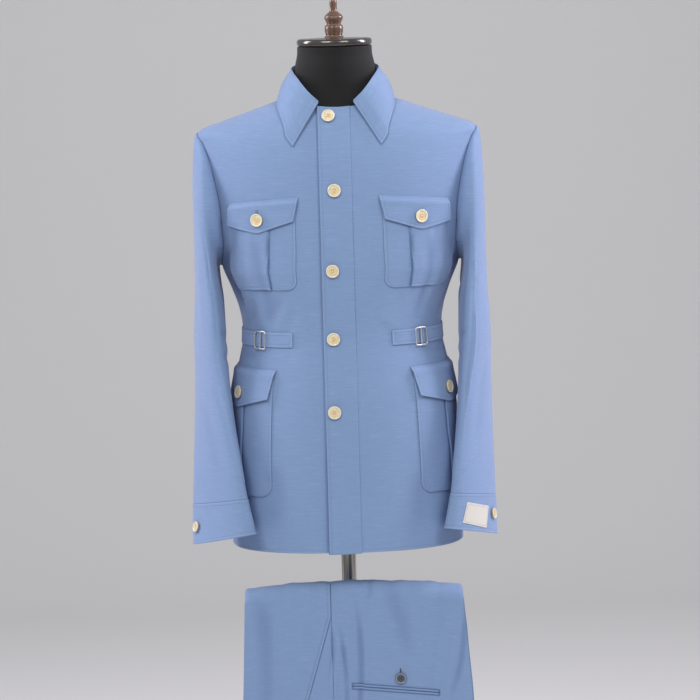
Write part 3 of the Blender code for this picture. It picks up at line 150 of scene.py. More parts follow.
FORM_RINGS = (
    (0.862, 0.1580, 0.1180, 0.1160, 2.25),
    (0.872, 0.1670, 0.1270, 0.1250, 2.25),
    (0.950, 0.1680, 0.1300, 0.1300, 2.25),
    (1.000, 0.1640, 0.1270, 0.1270, 2.25),
    (1.045, 0.1560, 0.1205, 0.1175, 2.25),
    (1.090, 0.1480, 0.1145, 0.1055, 2.25),
    (1.130, 0.1510, 0.1155, 0.1035, 2.25),
    (1.165, 0.1600, 0.1185, 0.1055, 2.25),
    (1.200, 0.1680, 0.1210, 0.1085, 2.25),
    (1.250, 0.1710, 0.1210, 0.1095, 2.25),
    (1.300, 0.1720, 0.1170, 0.1070, 2.25),
    (1.345, 0.1760, 0.1110, 0.1020, 2.25),
    (1.380, 0.1840, 0.1045, 0.0960, 2.15),
    (1.405, 0.1880, 0.0970, 0.0900, 2.02),
    (1.421, 0.1780, 0.0910, 0.0860, 1.95),
    (1.434, 0.1480, 0.0850, 0.0810, 1.95),
    (1.446, 0.1150, 0.0790, 0.0750, 1.95),
    (1.457, 0.0870, 0.0735, 0.0690, 1.95),
    (1.468, 0.0715, 0.0690, 0.0650, 2.10),
    (1.485, 0.0665, 0.0660, 0.0635, 2.10),
    (1.505, 0.0652, 0.0650, 0.0630, 2.10),
    (1.521, 0.0640, 0.0640, 0.0625, 2.10),
    (1.538, 0.0605, 0.0605, 0.0600, 2.10),
    (1.5515, 0.0598, 0.0598, 0.0596, 2.10),
)
NECK_CAP = ((0.0, 1.5520), (0.0570, 1.5520), (0.0600, 1.5540), (0.0608, 1.5580), (0.0598, 1.5620),
            (0.0570, 1.5640), (0.0150, 1.5650), (0.0, 1.5650))
FINIAL = ((0.0, 1.5655), (0.0148, 1.5655), (0.0146, 1.5672), (0.0130, 1.5690), (0.0138, 1.5715),
          (0.0149, 1.5767), (0.0149, 1.5815), (0.0140, 1.5840), (0.0115, 1.5864), (0.0115, 1.5880),
          (0.0125, 1.5905), (0.0149, 1.5962), (0.0143, 1.5994), (0.0115, 1.6027), (0.0078, 1.6055),
          (0.0060, 1.6085), (0.0058, 1.6160), (0.0060, 1.6230), (0.0045, 1.6262), (0.0, 1.6270))
BASE = ((0.0, 0.0), (0.1720, 0.0), (0.1750, 0.0030), (0.1740, 0.0090), (0.1690, 0.0120), (0.0260, 0.0120),
        (0.0220, 0.0150), (0.0200, 0.0340), (0.0180, 0.0360), (0.0, 0.0360))
POLE_RADIUS = 0.0118
TROUSER_AXIS_Y = -0.0955
TROUSER_TOP = 0.6990
TROUSER_ARCH = 0.0105
TROUSER_HALF = 0.1780
FOLD_RADIUS = 0.0237
TROUSER_PUFF = 0.0030
SIDE_COLUMNS = ("z", "left", "right")
TROUSER_SIDES = (
    (0.400, -0.1830, 0.2005),
    (0.470, -0.1795, 0.1975),
    (0.550, -0.1745, 0.1940),
    (0.620, -0.1715, 0.1882),
    (0.700, -0.1680, 0.1820),
)
BACK_TAPER = 0.030
SIDE_SEAM_X = -0.0303
SLANT = ((-0.0303, 0.6446), (-0.0950, 0.4300))
WAIST_Z = 0.4640
WAIST_TILT = 0.106
BAND_HEIGHT = 0.0380
CORE_THICK = 0.0090
WELT = {"left": (-0.0003, 0.5369), "right": (0.1403, 0.5220), "height": 0.0094, "lift": 0.0004,
        "thick": 0.0010}
TROUSER_BUTTON = (0.0783, 0.5427)
BAR_RADIUS = 0.0118
BAR_HALF = 0.1620
POST_RADIUS = 0.0090

# ---- Folds: soft ridges (height above 0) and troughs (height below 0) along a line ------------------

# Each row: across and along at one end, across and along at the other, half width, height
# Jacket body: degrees round from the centre front and heights
BODY_FOLDS = (
    (-73, 1.300, -68, 1.120, 0.0150, -0.0060),
    (73, 1.315, 67, 1.150, 0.0140, -0.0062),
    (-31, 1.165, -47, 1.112, 0.0120, -0.0030),
    (-52, 1.160, -60, 1.112, 0.0100, -0.0034),
    (-41, 1.262, -44, 1.105, 0.0110, -0.0038),
    (-54, 1.235, -53, 1.110, 0.0140, 0.0032),
    (43, 1.255, 43, 1.100, 0.0100, -0.0035),
    (54, 1.240, 55, 1.115, 0.0130, 0.0029),
    (-66, 1.212, -47, 1.290, 0.0100, -0.0029),
    (64, 1.215, 50, 1.284, 0.0090, -0.0023),
    (-78, 1.190, -60, 1.135, 0.0110, -0.0035),
    (80, 1.180, 62, 1.120, 0.0100, -0.0029),
    (-88, 1.122, -55, 1.113, 0.0055, -0.0020),
    (90, 1.118, 60, 1.112, 0.0050, -0.0020),
    (-84, 1.068, -52, 1.062, 0.0055, -0.0020),
    (86, 1.066, 58, 1.060, 0.0050, -0.0017),
    (-24, 1.150, -38, 1.085, 0.0090, -0.0013),
    (20, 1.120, 33, 1.075, 0.0080, -0.0012),
    (-83, 0.990, -79, 0.790, 0.0170, -0.0058),
    (-62, 0.950, -59, 0.765, 0.0190, 0.0038),
    (-38, 0.900, -41, 0.760, 0.0180, -0.0026),
    (81, 0.985, 77, 0.800, 0.0150, -0.0049),
    (60, 0.940, 61, 0.770, 0.0200, 0.0035),
    (36, 0.880, 33, 0.758, 0.0160, -0.0020),
    (100, 0.980, 103, 0.780, 0.0180, 0.0041),
    (-101, 0.985, -99, 0.770, 0.0170, 0.0043),
    (118, 1.010, 124, 0.775, 0.0200, -0.0061),
    (-120, 0.990, -126, 0.790, 0.0210, -0.0055),
    (143, 0.985, 146, 0.765, 0.0190, 0.0043),
    (-146, 1.000, -143, 0.770, 0.0200, 0.0041),
    (166, 1.000, 168, 0.772, 0.0180, -0.0049),
    (-170, 0.960, -168, 0.766, 0.0160, -0.0041),
    (138, 1.100, 176, 1.088, 0.0070, -0.0032),
    (-142, 1.106, -178, 1.096, 0.0065, -0.0026),
    (150, 1.070, 205, 1.064, 0.0060, -0.0023),
    (128, 1.330, 146, 1.215, 0.0140, -0.0032),
    (-130, 1.322, -148, 1.225, 0.0130, -0.0029),
    (160, 1.240, 165, 1.110, 0.0150, -0.0035),
    (-161, 1.225, -165, 1.105, 0.0160, -0.0038),
    (112, 1.200, 126, 1.118, 0.0110, -0.0038),
    (-113, 1.195, -128, 1.112, 0.0120, -0.0032),
)
# Sleeves: columns round the arm (4 in front, 8 inside, 12 behind) and heights
SLEEVE_FOLDS = {
    "left": (
        (3.75, 1.270, 4.05, 0.880, 0.0042, 0.0026),
        (2.70, 1.200, 2.95, 0.900, 0.0100, -0.0023),
        (4.90, 1.210, 5.10, 0.960, 0.0080, -0.0017),
        (4.60, 1.098, 7.60, 1.070, 0.0075, -0.0032),
        (5.00, 1.058, 8.20, 1.046, 0.0070, -0.0026),
        (8.60, 1.095, 12.20, 1.072, 0.0090, -0.0038),
        (9.00, 1.052, 12.60, 1.040, 0.0080, -0.0029),
        (12.40, 1.300, 12.00, 1.130, 0.0130, -0.0038),
        (13.60, 1.250, 13.10, 1.000, 0.0140, -0.0026),
        (0.60, 1.060, 1.20, 0.900, 0.0140, -0.0017),
        (7.00, 1.180, 9.60, 1.130, 0.0100, -0.0035),
        (2.20, 0.880, 4.80, 0.846, 0.0060, -0.0013),
    ),
    "right": (
        (3.10, 1.290, 3.45, 1.010, 0.0080, -0.0026),
        (4.40, 1.250, 4.65, 0.960, 0.0060, 0.0017),
        (2.10, 1.240, 2.00, 1.080, 0.0110, 0.0020),
        (2.20, 1.030, 3.20, 0.870, 0.0120, -0.0020),
        (4.80, 1.106, 7.80, 1.078, 0.0075, -0.0032),
        (4.90, 1.066, 8.00, 1.050, 0.0070, -0.0026),
        (8.80, 1.100, 12.40, 1.080, 0.0090, -0.0035),
        (9.10, 1.058, 12.20, 1.050, 0.0080, -0.0029),
        (12.30, 1.290, 12.10, 1.150, 0.0130, -0.0035),
        (13.40, 1.240, 13.20, 1.020, 0.0150, -0.0026),
        (0.40, 1.000, 1.00, 0.860, 0.0150, -0.0017),
        (3.00, 0.880, 5.40, 0.852, 0.0060, -0.0014),
    ),
}
# Trousers: x and the way along the cloth from the fold, front drop negative and back drop positive
TROUSER_FOLDS = (
    (-0.0195, -0.070, -0.0235, -0.330, 0.0034, -0.0044),
    (-0.0315, -0.080, -0.0390, -0.180, 0.0030, -0.0032),
    (0.0310, 0.012, 0.0285, -0.050, 0.0050, -0.0026),
    (0.0080, -0.022, -0.0095, -0.330, 0.0048, -0.0044),
    (0.0180, -0.030, 0.0040, -0.320, 0.0080, 0.0022),
    (-0.0140, -0.080, -0.0175, -0.320, 0.0036, 0.0022),
    (0.1840, -0.040, 0.1540, -0.210, 0.0050, -0.0040),
    (0.1720, -0.040, 0.1430, -0.220, 0.0080, 0.0024),
    (-0.1480, -0.010, -0.1420, -0.260, 0.0160, -0.0030),
    (-0.0950, -0.030, -0.1080, -0.280, 0.0200, 0.0026),
    (0.0620, -0.020, 0.0900, -0.140, 0.0150, -0.0024),
    (0.1180, -0.005, 0.1230, -0.100, 0.0120, 0.0022),
    (-0.0700, 0.000, -0.0780, 0.180, 0.0140, -0.0040),
    (0.0450, 0.010, 0.0560, 0.230, 0.0150, -0.0044),
    (0.1250, 0.020, 0.1130, 0.210, 0.0120, 0.0036),
    (-0.1280, 0.040, -0.1180, 0.250, 0.0120, 0.0036),
    (0.0000, 0.060, -0.0060, 0.280, 0.0100, -0.0032),
)
CORNER = 0.0060
CORNER_X = (-TROUSER_SIDES[-1][1] - CORNER, TROUSER_SIDES[-1][2] - CORNER)
FRONT_END = -0.292
PANEL_END = 0.289
LAYERS_END = 0.288
LAYER_COUNT = 4

# ---- Grids and stitching ----------------------------------------------------------------------------

BODY_GIRTH = 0.16
ARM_GIRTH = 0.0205
GRID_STEP = 0.0042
EDGE_LINES = (0.00025, 0.0008, 0.0016, 0.0028)
TOPSTITCH = 0.0052
HEM_LINE = 0.0200
PATCH_LINE = 0.0030
THREAD = {"width": 0.00045, "rise": 0.00028}
LEAF = {"length": 0.46, "fall": 0.055, "end_line": 0.9775}
FLAP_HIGH = 2 * SEAM + CLOTH + PLEAT_RISE
HOLE_OUT = 0.235 * 0.72
UP = np.array([0.0, 0.0, 1.0])
BOTH_SIDES = ((1, "left"), (-1, "right"))


# ---- Numbers on curves ------------------------------------------------------------------------------

def columns(names, rows):
    """Turns a table into one array for each named column."""
    table = np.array(rows, dtype=float)
    return {name: table[:, index] for index, name in enumerate(names)}


RING = columns(RING_COLUMNS, RINGS)
ARM = columns(ARM_COLUMNS, ARM_ROWS)
COLLAR = columns(COLLAR_COLUMNS, COLLAR_ROWS)
FORM = columns(FORM_COLUMNS, FORM_RINGS)
SIDES = columns(SIDE_COLUMNS, TROUSER_SIDES)


def along(values, at):
    """Reads a column between its rows: a cubic through the rows, sloped as their neighbours lie."""
    last = len(values) - 1
    at = np.clip(np.asarray(at, dtype=float), 0.0, last)
    low = np.minimum(at.astype(int), last - 1)
    part = at - low
    slopes = np.gradient(values)
    rise = part * part * (3 - 2 * part)
    leave = part * (1 - part) ** 2 * slopes[low]
    arrive = part * part * (part - 1) * slopes[low + 1]
    return values[low] * (1 - rise) + values[low + 1] * rise + leave + arrive


def unit(vectors):
    """Each vector over its length."""
    return vectors / np.maximum(np.linalg.norm(vectors, axis=-1, keepdims=True), 1e-12)


def ease(values, start=0.0, end=1.0):
    """0 at start, 1 at end, and a smooth cubic between them."""
    part = np.clip((values - start) / (end - start), 0.0, 1.0)
    return part * part * (3 - 2 * part)


def hump(distance, width):
    """A soft hump: e to the power of minus the square of distance over width."""
    return np.exp(-(distance / width) ** 2)


def spaced(length, step, extra=()):
    """Numbers from 0 to 1 for a length in metres: even steps, close lines at the ends, and extra places."""
    even = np.linspace(0, 1, max(int(round(length / step)), 2) + 1)
    close = np.array(EDGE_LINES) / length
    near = np.concatenate([close, 1 - close, np.asarray(extra, dtype=float).ravel()])
    near = near[(near > 0) & (near < 1)]
    gap = 0.35 * step / length
    kept = [value for value in even if value in (0, 1) or not np.any(np.abs(near - value) < gap)]
    return np.unique(np.round(np.concatenate([kept, near]), 7))


def fold_heights(table, across, up, across_scale, girth=None):
    """The sum over a table of folds: each is a hump of the distance to its line, dying out at both ends."""
    total = np.zeros(np.broadcast(across, up).shape)
    for across_a, along_a, across_b, along_b, width, height in table:
        way = np.array([(across_b - across_a) * across_scale, along_b - along_a])
        out = across - across_a * across_scale
        if girth:
            out = (out + girth / 2) % girth - girth / 2
        share = np.clip((out * way[0] + (up - along_a) * way[1]) / (way @ way), 0, 1)
        bow = 0.05 * np.linalg.norm(way) * np.sin(share * math.pi)
        away = np.hypot(out - way[0] * share + bow * np.sign(height), up - along_a - way[1] * share)
        fade = ease(share, 0, 0.24) * (1 - ease(share, 0.62, 1.0))
        total = total + height * fade * (hump(away, width) - 0.28 * hump(away, width * 2.1))
    return total


# ---- Surfaces ---------------------------------------------------------------------------------------

class Surface:
    """A surface given by a function of two numbers (down or up, and across), with soft folds on it.

    Its outward direction is the cross product of a small step across and a small step along."""

    def __init__(self, place, height, along_step, across_step):
        self.place = place
        self.height = height
        self.along_step = along_step
        self.across_step = across_step

    def direction(self, place, row, across):
        """The outward direction of a placing function."""
        side = place(row, across + self.across_step) - place(row, across - self.across_step)
        way = place(row + self.along_step, across) - place(row - self.along_step, across)
        return unit(np.cross(side, way))

    def folded(self, row, across):
        """The surface's point moved outwards by the height of its folds."""
        bare = self.place(row, across)
        return bare + self.direction(self.place, row, across) * self.height(row, across)[..., None]

    def lay(self, row, across, lift=0.0):
        """Points and outward directions a lift above the folded surface."""
        row, across, lift = np.broadcast_arrays(np.asarray(row, float), np.asarray(across, float), lift)
        normal = self.direction(self.folded, row, across)
        return self.folded(row, across) + normal * lift[..., None], normal


def trough_shade(heights, depth, most):
    """How far a trough shades itself: its depth over a full depth, up to a limit."""
    return most * np.clip(-heights / depth, 0, 1)


def low_light(ring, angle, z):
    """How far the jacket shades itself: in its folds' troughs, and on its sides below the chest."""
    turn = np.abs(np.arctan2(np.sin(angle), np.cos(angle)))
    side = 0.20 * ease(turn, 0.45, 1.20) * ease(turn, 2.50, 1.70) * ease(z, 1.40, 1.26)
    arm_turn = ease(turn, 0.95, 1.35) * ease(turn, 1.85, 1.60)
    under_arm = 0.60 * arm_turn * ease(z, 1.37, 1.30) * ease(z, 1.12, 1.19)
    return trough_shade(body_height(ring, angle), 0.0060, 0.32) + side + under_arm


def body(ring, angle):
    """The jacket's surface: a rounded box section at a ring, read at an angle from the front.

    Across and back are the half sizes times sine and cosine, over the root sum of their powers."""
    ring = np.clip(ring, 0, NECK_RING)
    sine, cosine = np.sin(angle), np.cos(angle)
    roundness = along(RING["roundness"], ring)
    reach = (np.abs(sine) ** roundness + np.abs(cosine) ** roundness) ** (-1 / roundness)
    in_front = cosine > 0
    depth = np.where(in_front, along(RING["front_depth"], ring), along(RING["back_depth"], ring))
    end_z = np.where(in_front, along(RING["front_z"], ring), along(RING["back_z"], ring))
    side_z = along(RING["side_z"], ring)
    x = along(RING["half_width"], ring) * sine * reach
    z = side_z + (end_z - side_z) * cosine * cosine
    return np.stack(np.broadcast_arrays(x, -depth * cosine * reach, z), axis=-1)


def body_height(ring, angle):
    """The jacket's folds, quiet along the armholes and over the shoulders, and a slow wave in the skirt."""
    around = np.abs((angle + math.pi) % (2 * math.pi) - math.pi)
    front = np.radians(along(RING["front_edge"], ring))
    back = np.radians(along(RING["back_edge"], ring))
    beside = np.maximum(front - around, around - back)
    below = (ARMPIT_RING - ring) * 0.10
    calm = ease(np.maximum(beside, below), 0.0, 0.20) * (1 - ease(ring, 16.5, 18.5))
    up = along(RING["front_z"], ring)
    girth = 2 * math.pi * BODY_GIRTH
    folds = fold_heights(BODY_FOLDS, angle * BODY_GIRTH, up, math.radians(BODY_GIRTH), girth)
    slack = 0.0009 * ease(up, 1.02, 0.80) * np.sin(angle * 7 + 1.1) * np.sin(angle * 3 - up * 9)
    centre_calm = 1 - hump(around, 0.16) * 0.85
    kick = 0.0026 * ease(up, 0.86, 0.752) * hump(around, 0.30)
    return (folds + slack) * calm * centre_calm + kick


JACKET = Surface(body, body_height, 0.04, 0.01)
RING_STEPS = np.linspace(0, NECK_RING, 1200)


def ring_at(z):
    """The ring whose centre front is at a height."""
    return np.interp(z, along(RING["front_z"], RING_STEPS), RING_STEPS)


def angle_at(x, ring):
    """The angle at which a ring's front half reaches x."""
    roundness = along(RING["roundness"], ring)
    share = np.abs(x) / along(RING["half_width"], ring)
    depth_share = (1 - share ** roundness) ** (1 / roundness)
    return np.sign(x) * np.arctan2(share, depth_share)


def from_x(x, z):
    """Angle and height of a place on the jacket given by x and z as seen from the front."""
    return np.array([float(angle_at(x, ring_at(z))), z])


def from_degrees(degrees, z):
    """Angle and height of a place on the jacket given in degrees from the centre front."""
    return np.array([math.radians(degrees), z])


def on_jacket(angle, z, lift=0.0):
    """The jacket's surface at angles and heights."""
    return JACKET.lay(ring_at(z), angle, lift)


def even_rows(rows, paths):
    """Rows about a grid step apart, measured on whichever of several paths moves most."""
    moves = np.max([np.linalg.norm(np.diff(path, axis=0), axis=1) for path in paths], axis=0)
    length = np.concatenate([[0.0], np.cumsum(moves)])
    return np.interp(spaced(length[-1], GRID_STEP) * length[-1], length, rows)


def ring_lines():
    """The jacket's rings for a grid, as a column; paths run up the front, beside it and up the side."""
    rings = np.linspace(0.0, NECK_RING, 1600)
    paths = [body(rings, np.full(rings.shape, angle)) for angle in (0.0, 0.8, math.pi / 2)]
    return even_rows(rings, paths)[:, None]


def arm_tube(row, turn_column, side_name):
    """The sleeve before it meets the armhole: a flat oval that turns and leans from ring to ring."""
    extra_turn, extra_y = SWING[side_name]
    swing = along(ARM["swing"], row)
    around = turn_column * (2 * math.pi / ARM_COLUMN_COUNT)
    turn = np.radians(along(ARM["turn"], row) + extra_turn * swing)
    thin = along(ARM["thin_half"], row) * np.cos(around)
    wide = along(ARM["long_half"], row) * np.sin(around)
    x = along(ARM["x"], row) + thin * np.cos(turn) - wide * np.sin(turn)
    y = along(ARM["y"], row) + extra_y * swing - thin * np.sin(turn) - wide * np.cos(turn)
    z = along(ARM["z"], row) + along(ARM["rise"], row) * np.cos(around)
    z = z + along(ARM["slope"], row) * np.sin(around)
    return np.stack(np.broadcast_arrays(x, y, z), axis=-1)


def armhole(turn_column):
    """The armhole's edge on the jacket's surface in the sleeve's columns."""
    turn_column = np.mod(turn_column, ARM_COLUMN_COUNT)
    half = ARM_COLUMN_COUNT // 2
    in_front = turn_column <= half
    rings = np.where(in_front, SHOULDER_RING - turn_column, ARMPIT_RING + turn_column - half)
    degrees = np.where(in_front, along(RING["front_edge"], rings), along(RING["back_edge"], rings))
    return body(rings, np.radians(degrees))


def sleeve_surface(side_name):
    """The wearer's left sleeve's surface, as side_name hangs: the tube drawn onto the armhole's edge."""
    def place(row, turn_column):
        start = arm_tube(np.zeros(np.shape(row)), turn_column, side_name)
        share = along(ARM["armhole_share"], row)[..., None]
        return arm_tube(row, turn_column, side_name) + share * (armhole(turn_column) - start)

    def height(row, turn_column):
        up = place(row, turn_column)[..., 2]
        across = turn_column * ARM_GIRTH
        folds = fold_heights(SLEEVE_FOLDS[side_name], across, up, ARM_GIRTH, ARM_COLUMN_COUNT * ARM_GIRTH)
        top = np.cos(turn_column * 2 * math.pi / ARM_COLUMN_COUNT) * 0.5 + 0.5
        head = 0.0016 * hump(row - 0.55, 0.55) * (0.25 + 0.75 * top)
        return folds * ease(row, 0.6, 2.5) * (1 - 0.6 * ease(row, 10.5, 11.0)) + head

    return Surface(place, height, 0.04, 0.08)


SLEEVES = {"left": sleeve_surface("left"), "right": sleeve_surface("right")}


def flip(points, side):
    """Mirrors points or directions onto the other half."""
    return points * np.array([side, 1.0, 1.0])


def fold_top(x):
    """The height of the trousers' fold, which falls with the square of x."""
    return TROUSER_TOP - TROUSER_ARCH * (x / TROUSER_HALF) ** 2


def drape(travel, x, depth=0.0):
    """The trousers' surface: half a circle over the bar, then two drops that swell a little."""
    centre_z = fold_top(x) - FOLD_RADIUS
    quarter = FOLD_RADIUS * math.pi / 2
    turn = np.clip(travel / FOLD_RADIUS, -math.pi / 2, math.pi / 2)
    straight = np.maximum(np.abs(travel) - quarter, 0.0)
    puff = TROUSER_PUFF * np.sin(np.clip(straight / 0.27, 0, 1) * math.pi) ** 2
    radius = FOLD_RADIUS + puff - depth
    y = TROUSER_AXIS_Y + radius * np.sin(turn)
    z = centre_z + radius * np.cos(turn) - straight
    return np.stack(np.broadcast_arrays(x, y, z), axis=-1)


def trouser_height(travel, x):
    """The trousers' folds."""
    lumps = 0.0006 * np.sin(x * 61 + 0.6) + 0.0005 * np.sin(x * 143 + 2.0) + 0.0003 * np.sin(x * 250)
    ends = 1 - ease(np.abs(x), 0.145, 0.172)
    beyond = np.clip((np.abs(x) - np.where(x > 0, CORNER_X[1], CORNER_X[0])) / CORNER, 0, 1)
    corners = -CORNER * (1 - np.sqrt(1 - 0.98 * beyond ** 2))
    return fold_heights(TROUSER_FOLDS, x, travel, 1.0) + (lumps * ends + corners) * hump(travel, 0.03)


TROUSERS = Surface(drape, trouser_height, 0.0008, 0.0008)


def travel_to(x, z):
    """The way down the front drop at which the cloth reaches a height."""
    return z - fold_top(x) + FOLD_RADIUS * (1 - math.pi / 2)


def side_x(edge, travel):
    """The trousers' left or right edge; the legs behind narrow to the knee."""
    down = np.maximum(np.abs(travel) - FOLD_RADIUS, 0.0)
    x = np.interp(TROUSER_TOP - down, SIDES["z"], SIDES[edge])
    behind = np.clip(travel, 0.0, 0.3) / 0.3
    fold_x = SIDES[edge][-1]
    return np.where(travel > 0, fold_x - np.sign(fold_x) * BACK_TAPER * behind, x)


def waist_z(x):
    """The seam between the trousers and their waistband, which drops towards the centre back."""
    return WAIST_Z - WAIST_TILT * np.maximum(x - SIDE_SEAM_X, 0.0)


# ---- Meshes -----------------------------------------------------------------------------------------

def grid_quads(row_count, column_count, wrap=False):
    """The four corners of each cell of a grid of points, joined round when it wraps."""
    rows = np.arange(row_count - 1)[:, None]
    cells = np.arange(column_count if wrap else column_count - 1)[None, :]
    after = (cells + 1) % column_count
    corners = (rows * column_count + cells, rows * column_count + after,
               (rows + 1) * column_count + after, (rows + 1) * column_count + cells)
    return np.stack([np.broadcast_to(corner, (row_count - 1, cells.size)).ravel() for corner in corners], 1)


def rim_loop(row_count, column_count, wrap):
    """The vertices round a grid's open edge, in order; two loops when it wraps."""
    if wrap:
        last = (row_count - 1) * column_count
        return [np.arange(column_count), last + np.arange(column_count)[::-1]]
    bottom = np.arange(column_count)
    right = np.arange(1, row_count) * column_count + column_count - 1
    top = (row_count - 1) * column_count + np.arange(column_count - 1)[::-1]
    left = np.arange(1, row_count - 1)[::-1] * column_count
    return [np.concatenate([bottom, right, top, left])]


def edge_distance(points, edges, wrap):
    """How far each point of a grid is from the nearest named edge, measured along its rows and columns."""
    nearest = np.full(points.shape[:2], 1.0)
    if not wrap:
        steps = np.linalg.norm(np.diff(points, axis=1), axis=-1)
        run = np.concatenate([np.zeros((points.shape[0], 1)), np.cumsum(steps, axis=1)], axis=1)
        if "left" in edges:
            nearest = np.minimum(nearest, run)
        if "right" in edges:
            nearest = np.minimum(nearest, run[:, -1:] - run)
    steps = np.linalg.norm(np.diff(points, axis=0), axis=-1)
    run = np.concatenate([np.zeros((1, points.shape[1])), np.cumsum(steps, axis=0)], axis=0)
    if "start" in edges:
        nearest = np.minimum(nearest, run)
    if "end" in edges:
        nearest = np.minimum(nearest, run[-1:] - run)
    return nearest


def shell(points, normals, flat, thick=CLOTH, wrap=False, seams=(), crease=0.0):
    """A closed cloth wall: a grid of points and the same grid moved in, meeting in a rounded edge.

    Near an edge both faces close in on the middle as a quarter circle does. seams are the edges whose
    distance is kept for the finish, in the attribute that draws the stitched line; the last argument is
    the painted shade that darkens the colour in folds, seams, edges and on sides turned from the light, from
    0 to 1."""
    away = edge_distance(points, ("left", "right", "start", "end"), wrap)
    part = 1 - np.clip(away / (thick * 0.6), 0, 1)
    closing = (thick * 0.5 - 0.00008) * (1 - np.sqrt(1 - part * part * 0.999))
    outer = points - normals * closing[..., None]
    inner = points - normals * (thick - closing)[..., None]
    rows, across = points.shape[:2]
    count = rows * across
    quads = grid_quads(rows, across, wrap)
    middle = quads[len(quads) // 2]
    corner = points.reshape(-1, 3)[middle]
    facing = np.cross(corner[1] - corner[0], corner[3] - corner[0])
    rims = []
    for loop in rim_loop(rows, across, wrap):
        after = np.roll(loop, -1)
        rims.append(np.stack([after, loop, loop + count, after + count], 1))
    faces = np.concatenate([quads, quads[:, ::-1] + count] + rims)
    if facing @ normals.reshape(-1, 3)[middle[0]] <= 0:
        faces = faces[:, ::-1]
    seam = edge_distance(points, seams, wrap) if seams else np.full((rows, across), 1.0)
    crease = np.broadcast_to(crease, (rows, across))
    return {"verts": np.concatenate([outer.reshape(-1, 3), inner.reshape(-1, 3)]), "faces": faces,
            "flat": np.concatenate([np.asarray(flat, float).reshape(-1, 2)] * 2),
            "seam": np.concatenate([seam.ravel(), np.full(count, 1.0)]),
            "crease": np.concatenate([crease.ravel(), np.zeros(count)])}


def joined(parts):
    """Several sets of vertices and faces as one."""
    starts = np.cumsum([0] + [len(part["verts"]) for part in parts])
    faces = []
    for part, start in zip(parts, starts):
        faces += [tuple(int(index) + int(start) for index in face) for face in part["faces"]]
    return {"verts": np.concatenate([part["verts"] for part in parts]), "faces": faces,
            "flat": np.concatenate([part["flat"] for part in parts]),
            "seam": np.concatenate([part["seam"] for part in parts])}


def make_piece(name, part, finish, node_names=()):
    """Makes the object with its finish, unrolled places and seam distances; it rides on the frame."""
    mesh = bpy.data.meshes.new(name)
    faces = part["faces"] if isinstance(part["faces"], list) else part["faces"].tolist()
    mesh.from_pydata(part["verts"].tolist(), [], faces)
    corners = np.zeros(len(mesh.loops), dtype=np.int32)
    mesh.loops.foreach_get("vertex_index", corners)
    layer = mesh.uv_layers.new(name="flat")
    layer.data.foreach_set("uv", part["flat"][corners].astype(np.float32).ravel())
    seam = mesh.attributes.new("seam", "FLOAT", "POINT")
    seam.data.foreach_set("value", part["seam"].astype(np.float32))
    # The painted shade goes on the mesh as a number by which the cloth finish darkens its colour.
    if "crease" in part:
        crease = mesh.attributes.new("crease", "FLOAT", "POINT")
        crease.data.foreach_set("value", part["crease"].astype(np.float32))
    mesh.materials.append(FINISH[finish]())
    mesh.shade_smooth()
    mesh.set_sharp_from_angle(angle=math.radians(50))
    item = bpy.data.objects.new(name, mesh)
    bpy.context.scene.collection.objects.link(item)
    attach(item, "root")
    if node_names:
        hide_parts(*node_names)
    return item


def cut_size(points, wrap=False):
    """The cloth's flat size from the surface it lies on: widest row, longest column and the cells' area."""
    if wrap:
        points = np.concatenate([points, points[:, :1]], axis=1)
    across = np.diff(points, axis=1)
    down = np.diff(points, axis=0)
    width = np.linalg.norm(across, axis=-1).sum(axis=1).max()
    length = np.linalg.norm(down, axis=-1).sum(axis=0).max()
    area = np.linalg.norm(np.cross(across[:-1], down[:, :-1]), axis=-1).sum()
    return float(width), float(length), float(min(area, width * length))


def declare_sheet(points, wrap=False):
    """Works out the cloth piece's cut from its unfolded surface; the sizes are not used."""
    width, length, area = cut_size(points, wrap)


def cloth_piece(name, points, normals, flat, nodes, thick=CLOTH,
                wrap=False, seams=(), crease=0.0, finish="cloth"):
    """A cloth wall that replaces its node; its cut is worked out but not stated."""
    item = make_piece(name, shell(points, normals, flat, thick, wrap, seams, crease), finish, nodes)
    declare_sheet(points, wrap)


def capped_rings(rings, low, high):
    """A closed skin: rings of points joined by cells, and a fan to the axis at each end."""
    rows, sides = rings.shape[:2]
    count = rows * sides
    verts = np.concatenate([rings.reshape(-1, 3), [[0, 0, low], [0, 0, high]]])
    steps = np.arange(sides)
    after = (steps + 1) % sides
    last = count - sides
    faces = grid_quads(rows, sides, True).tolist()
    faces += np.stack([after, steps, np.full(sides, count)], 1).tolist()
    faces += np.stack([last + steps, last + after, np.full(sides, count + 1)], 1).tolist()
    return verts, outward(verts, faces)


def lathe(profile, sides, centre=(0.0, 0.0)):
    """A closed solid turned about an axis: (radius, height) points that start and end on the axis."""
    profile = np.array(profile, dtype=float)
    turns = np.arange(sides) * 2 * math.pi / sides
    radius, height = profile[1:-1, 0][:, None], profile[1:-1, 1][:, None]
    rings = np.stack(np.broadcast_arrays(radius * np.cos(turns), radius * np.sin(turns), height), axis=-1)
    verts, faces = capped_rings(rings, profile[0, 1], profile[-1, 1])
    share = np.hypot(verts[:, 0], verts[:, 1]) / profile[:, 0].max()
    flat = np.stack([share, np.arctan2(verts[:, 1], verts[:, 0]) / (2 * math.pi)], axis=1)
    verts = verts + np.array([centre[0], centre[1], 0.0])
    return {"verts": verts, "faces": faces, "flat": flat, "seam": np.ones(len(verts))}


def smooth_profile(profile, sub_steps):
    """A turned profile read on a smooth curve through its points."""
    table = np.array(profile)
    at = np.linspace(0, len(table) - 1, (len(table) - 1) * sub_steps + 1)
    radius = np.maximum(along(table[:, 0], at), 0.0)
    height = np.maximum.accumulate(along(table[:, 1], at))
    radius[0] = radius[-1] = 0.0
    return np.stack([radius, height], axis=1)


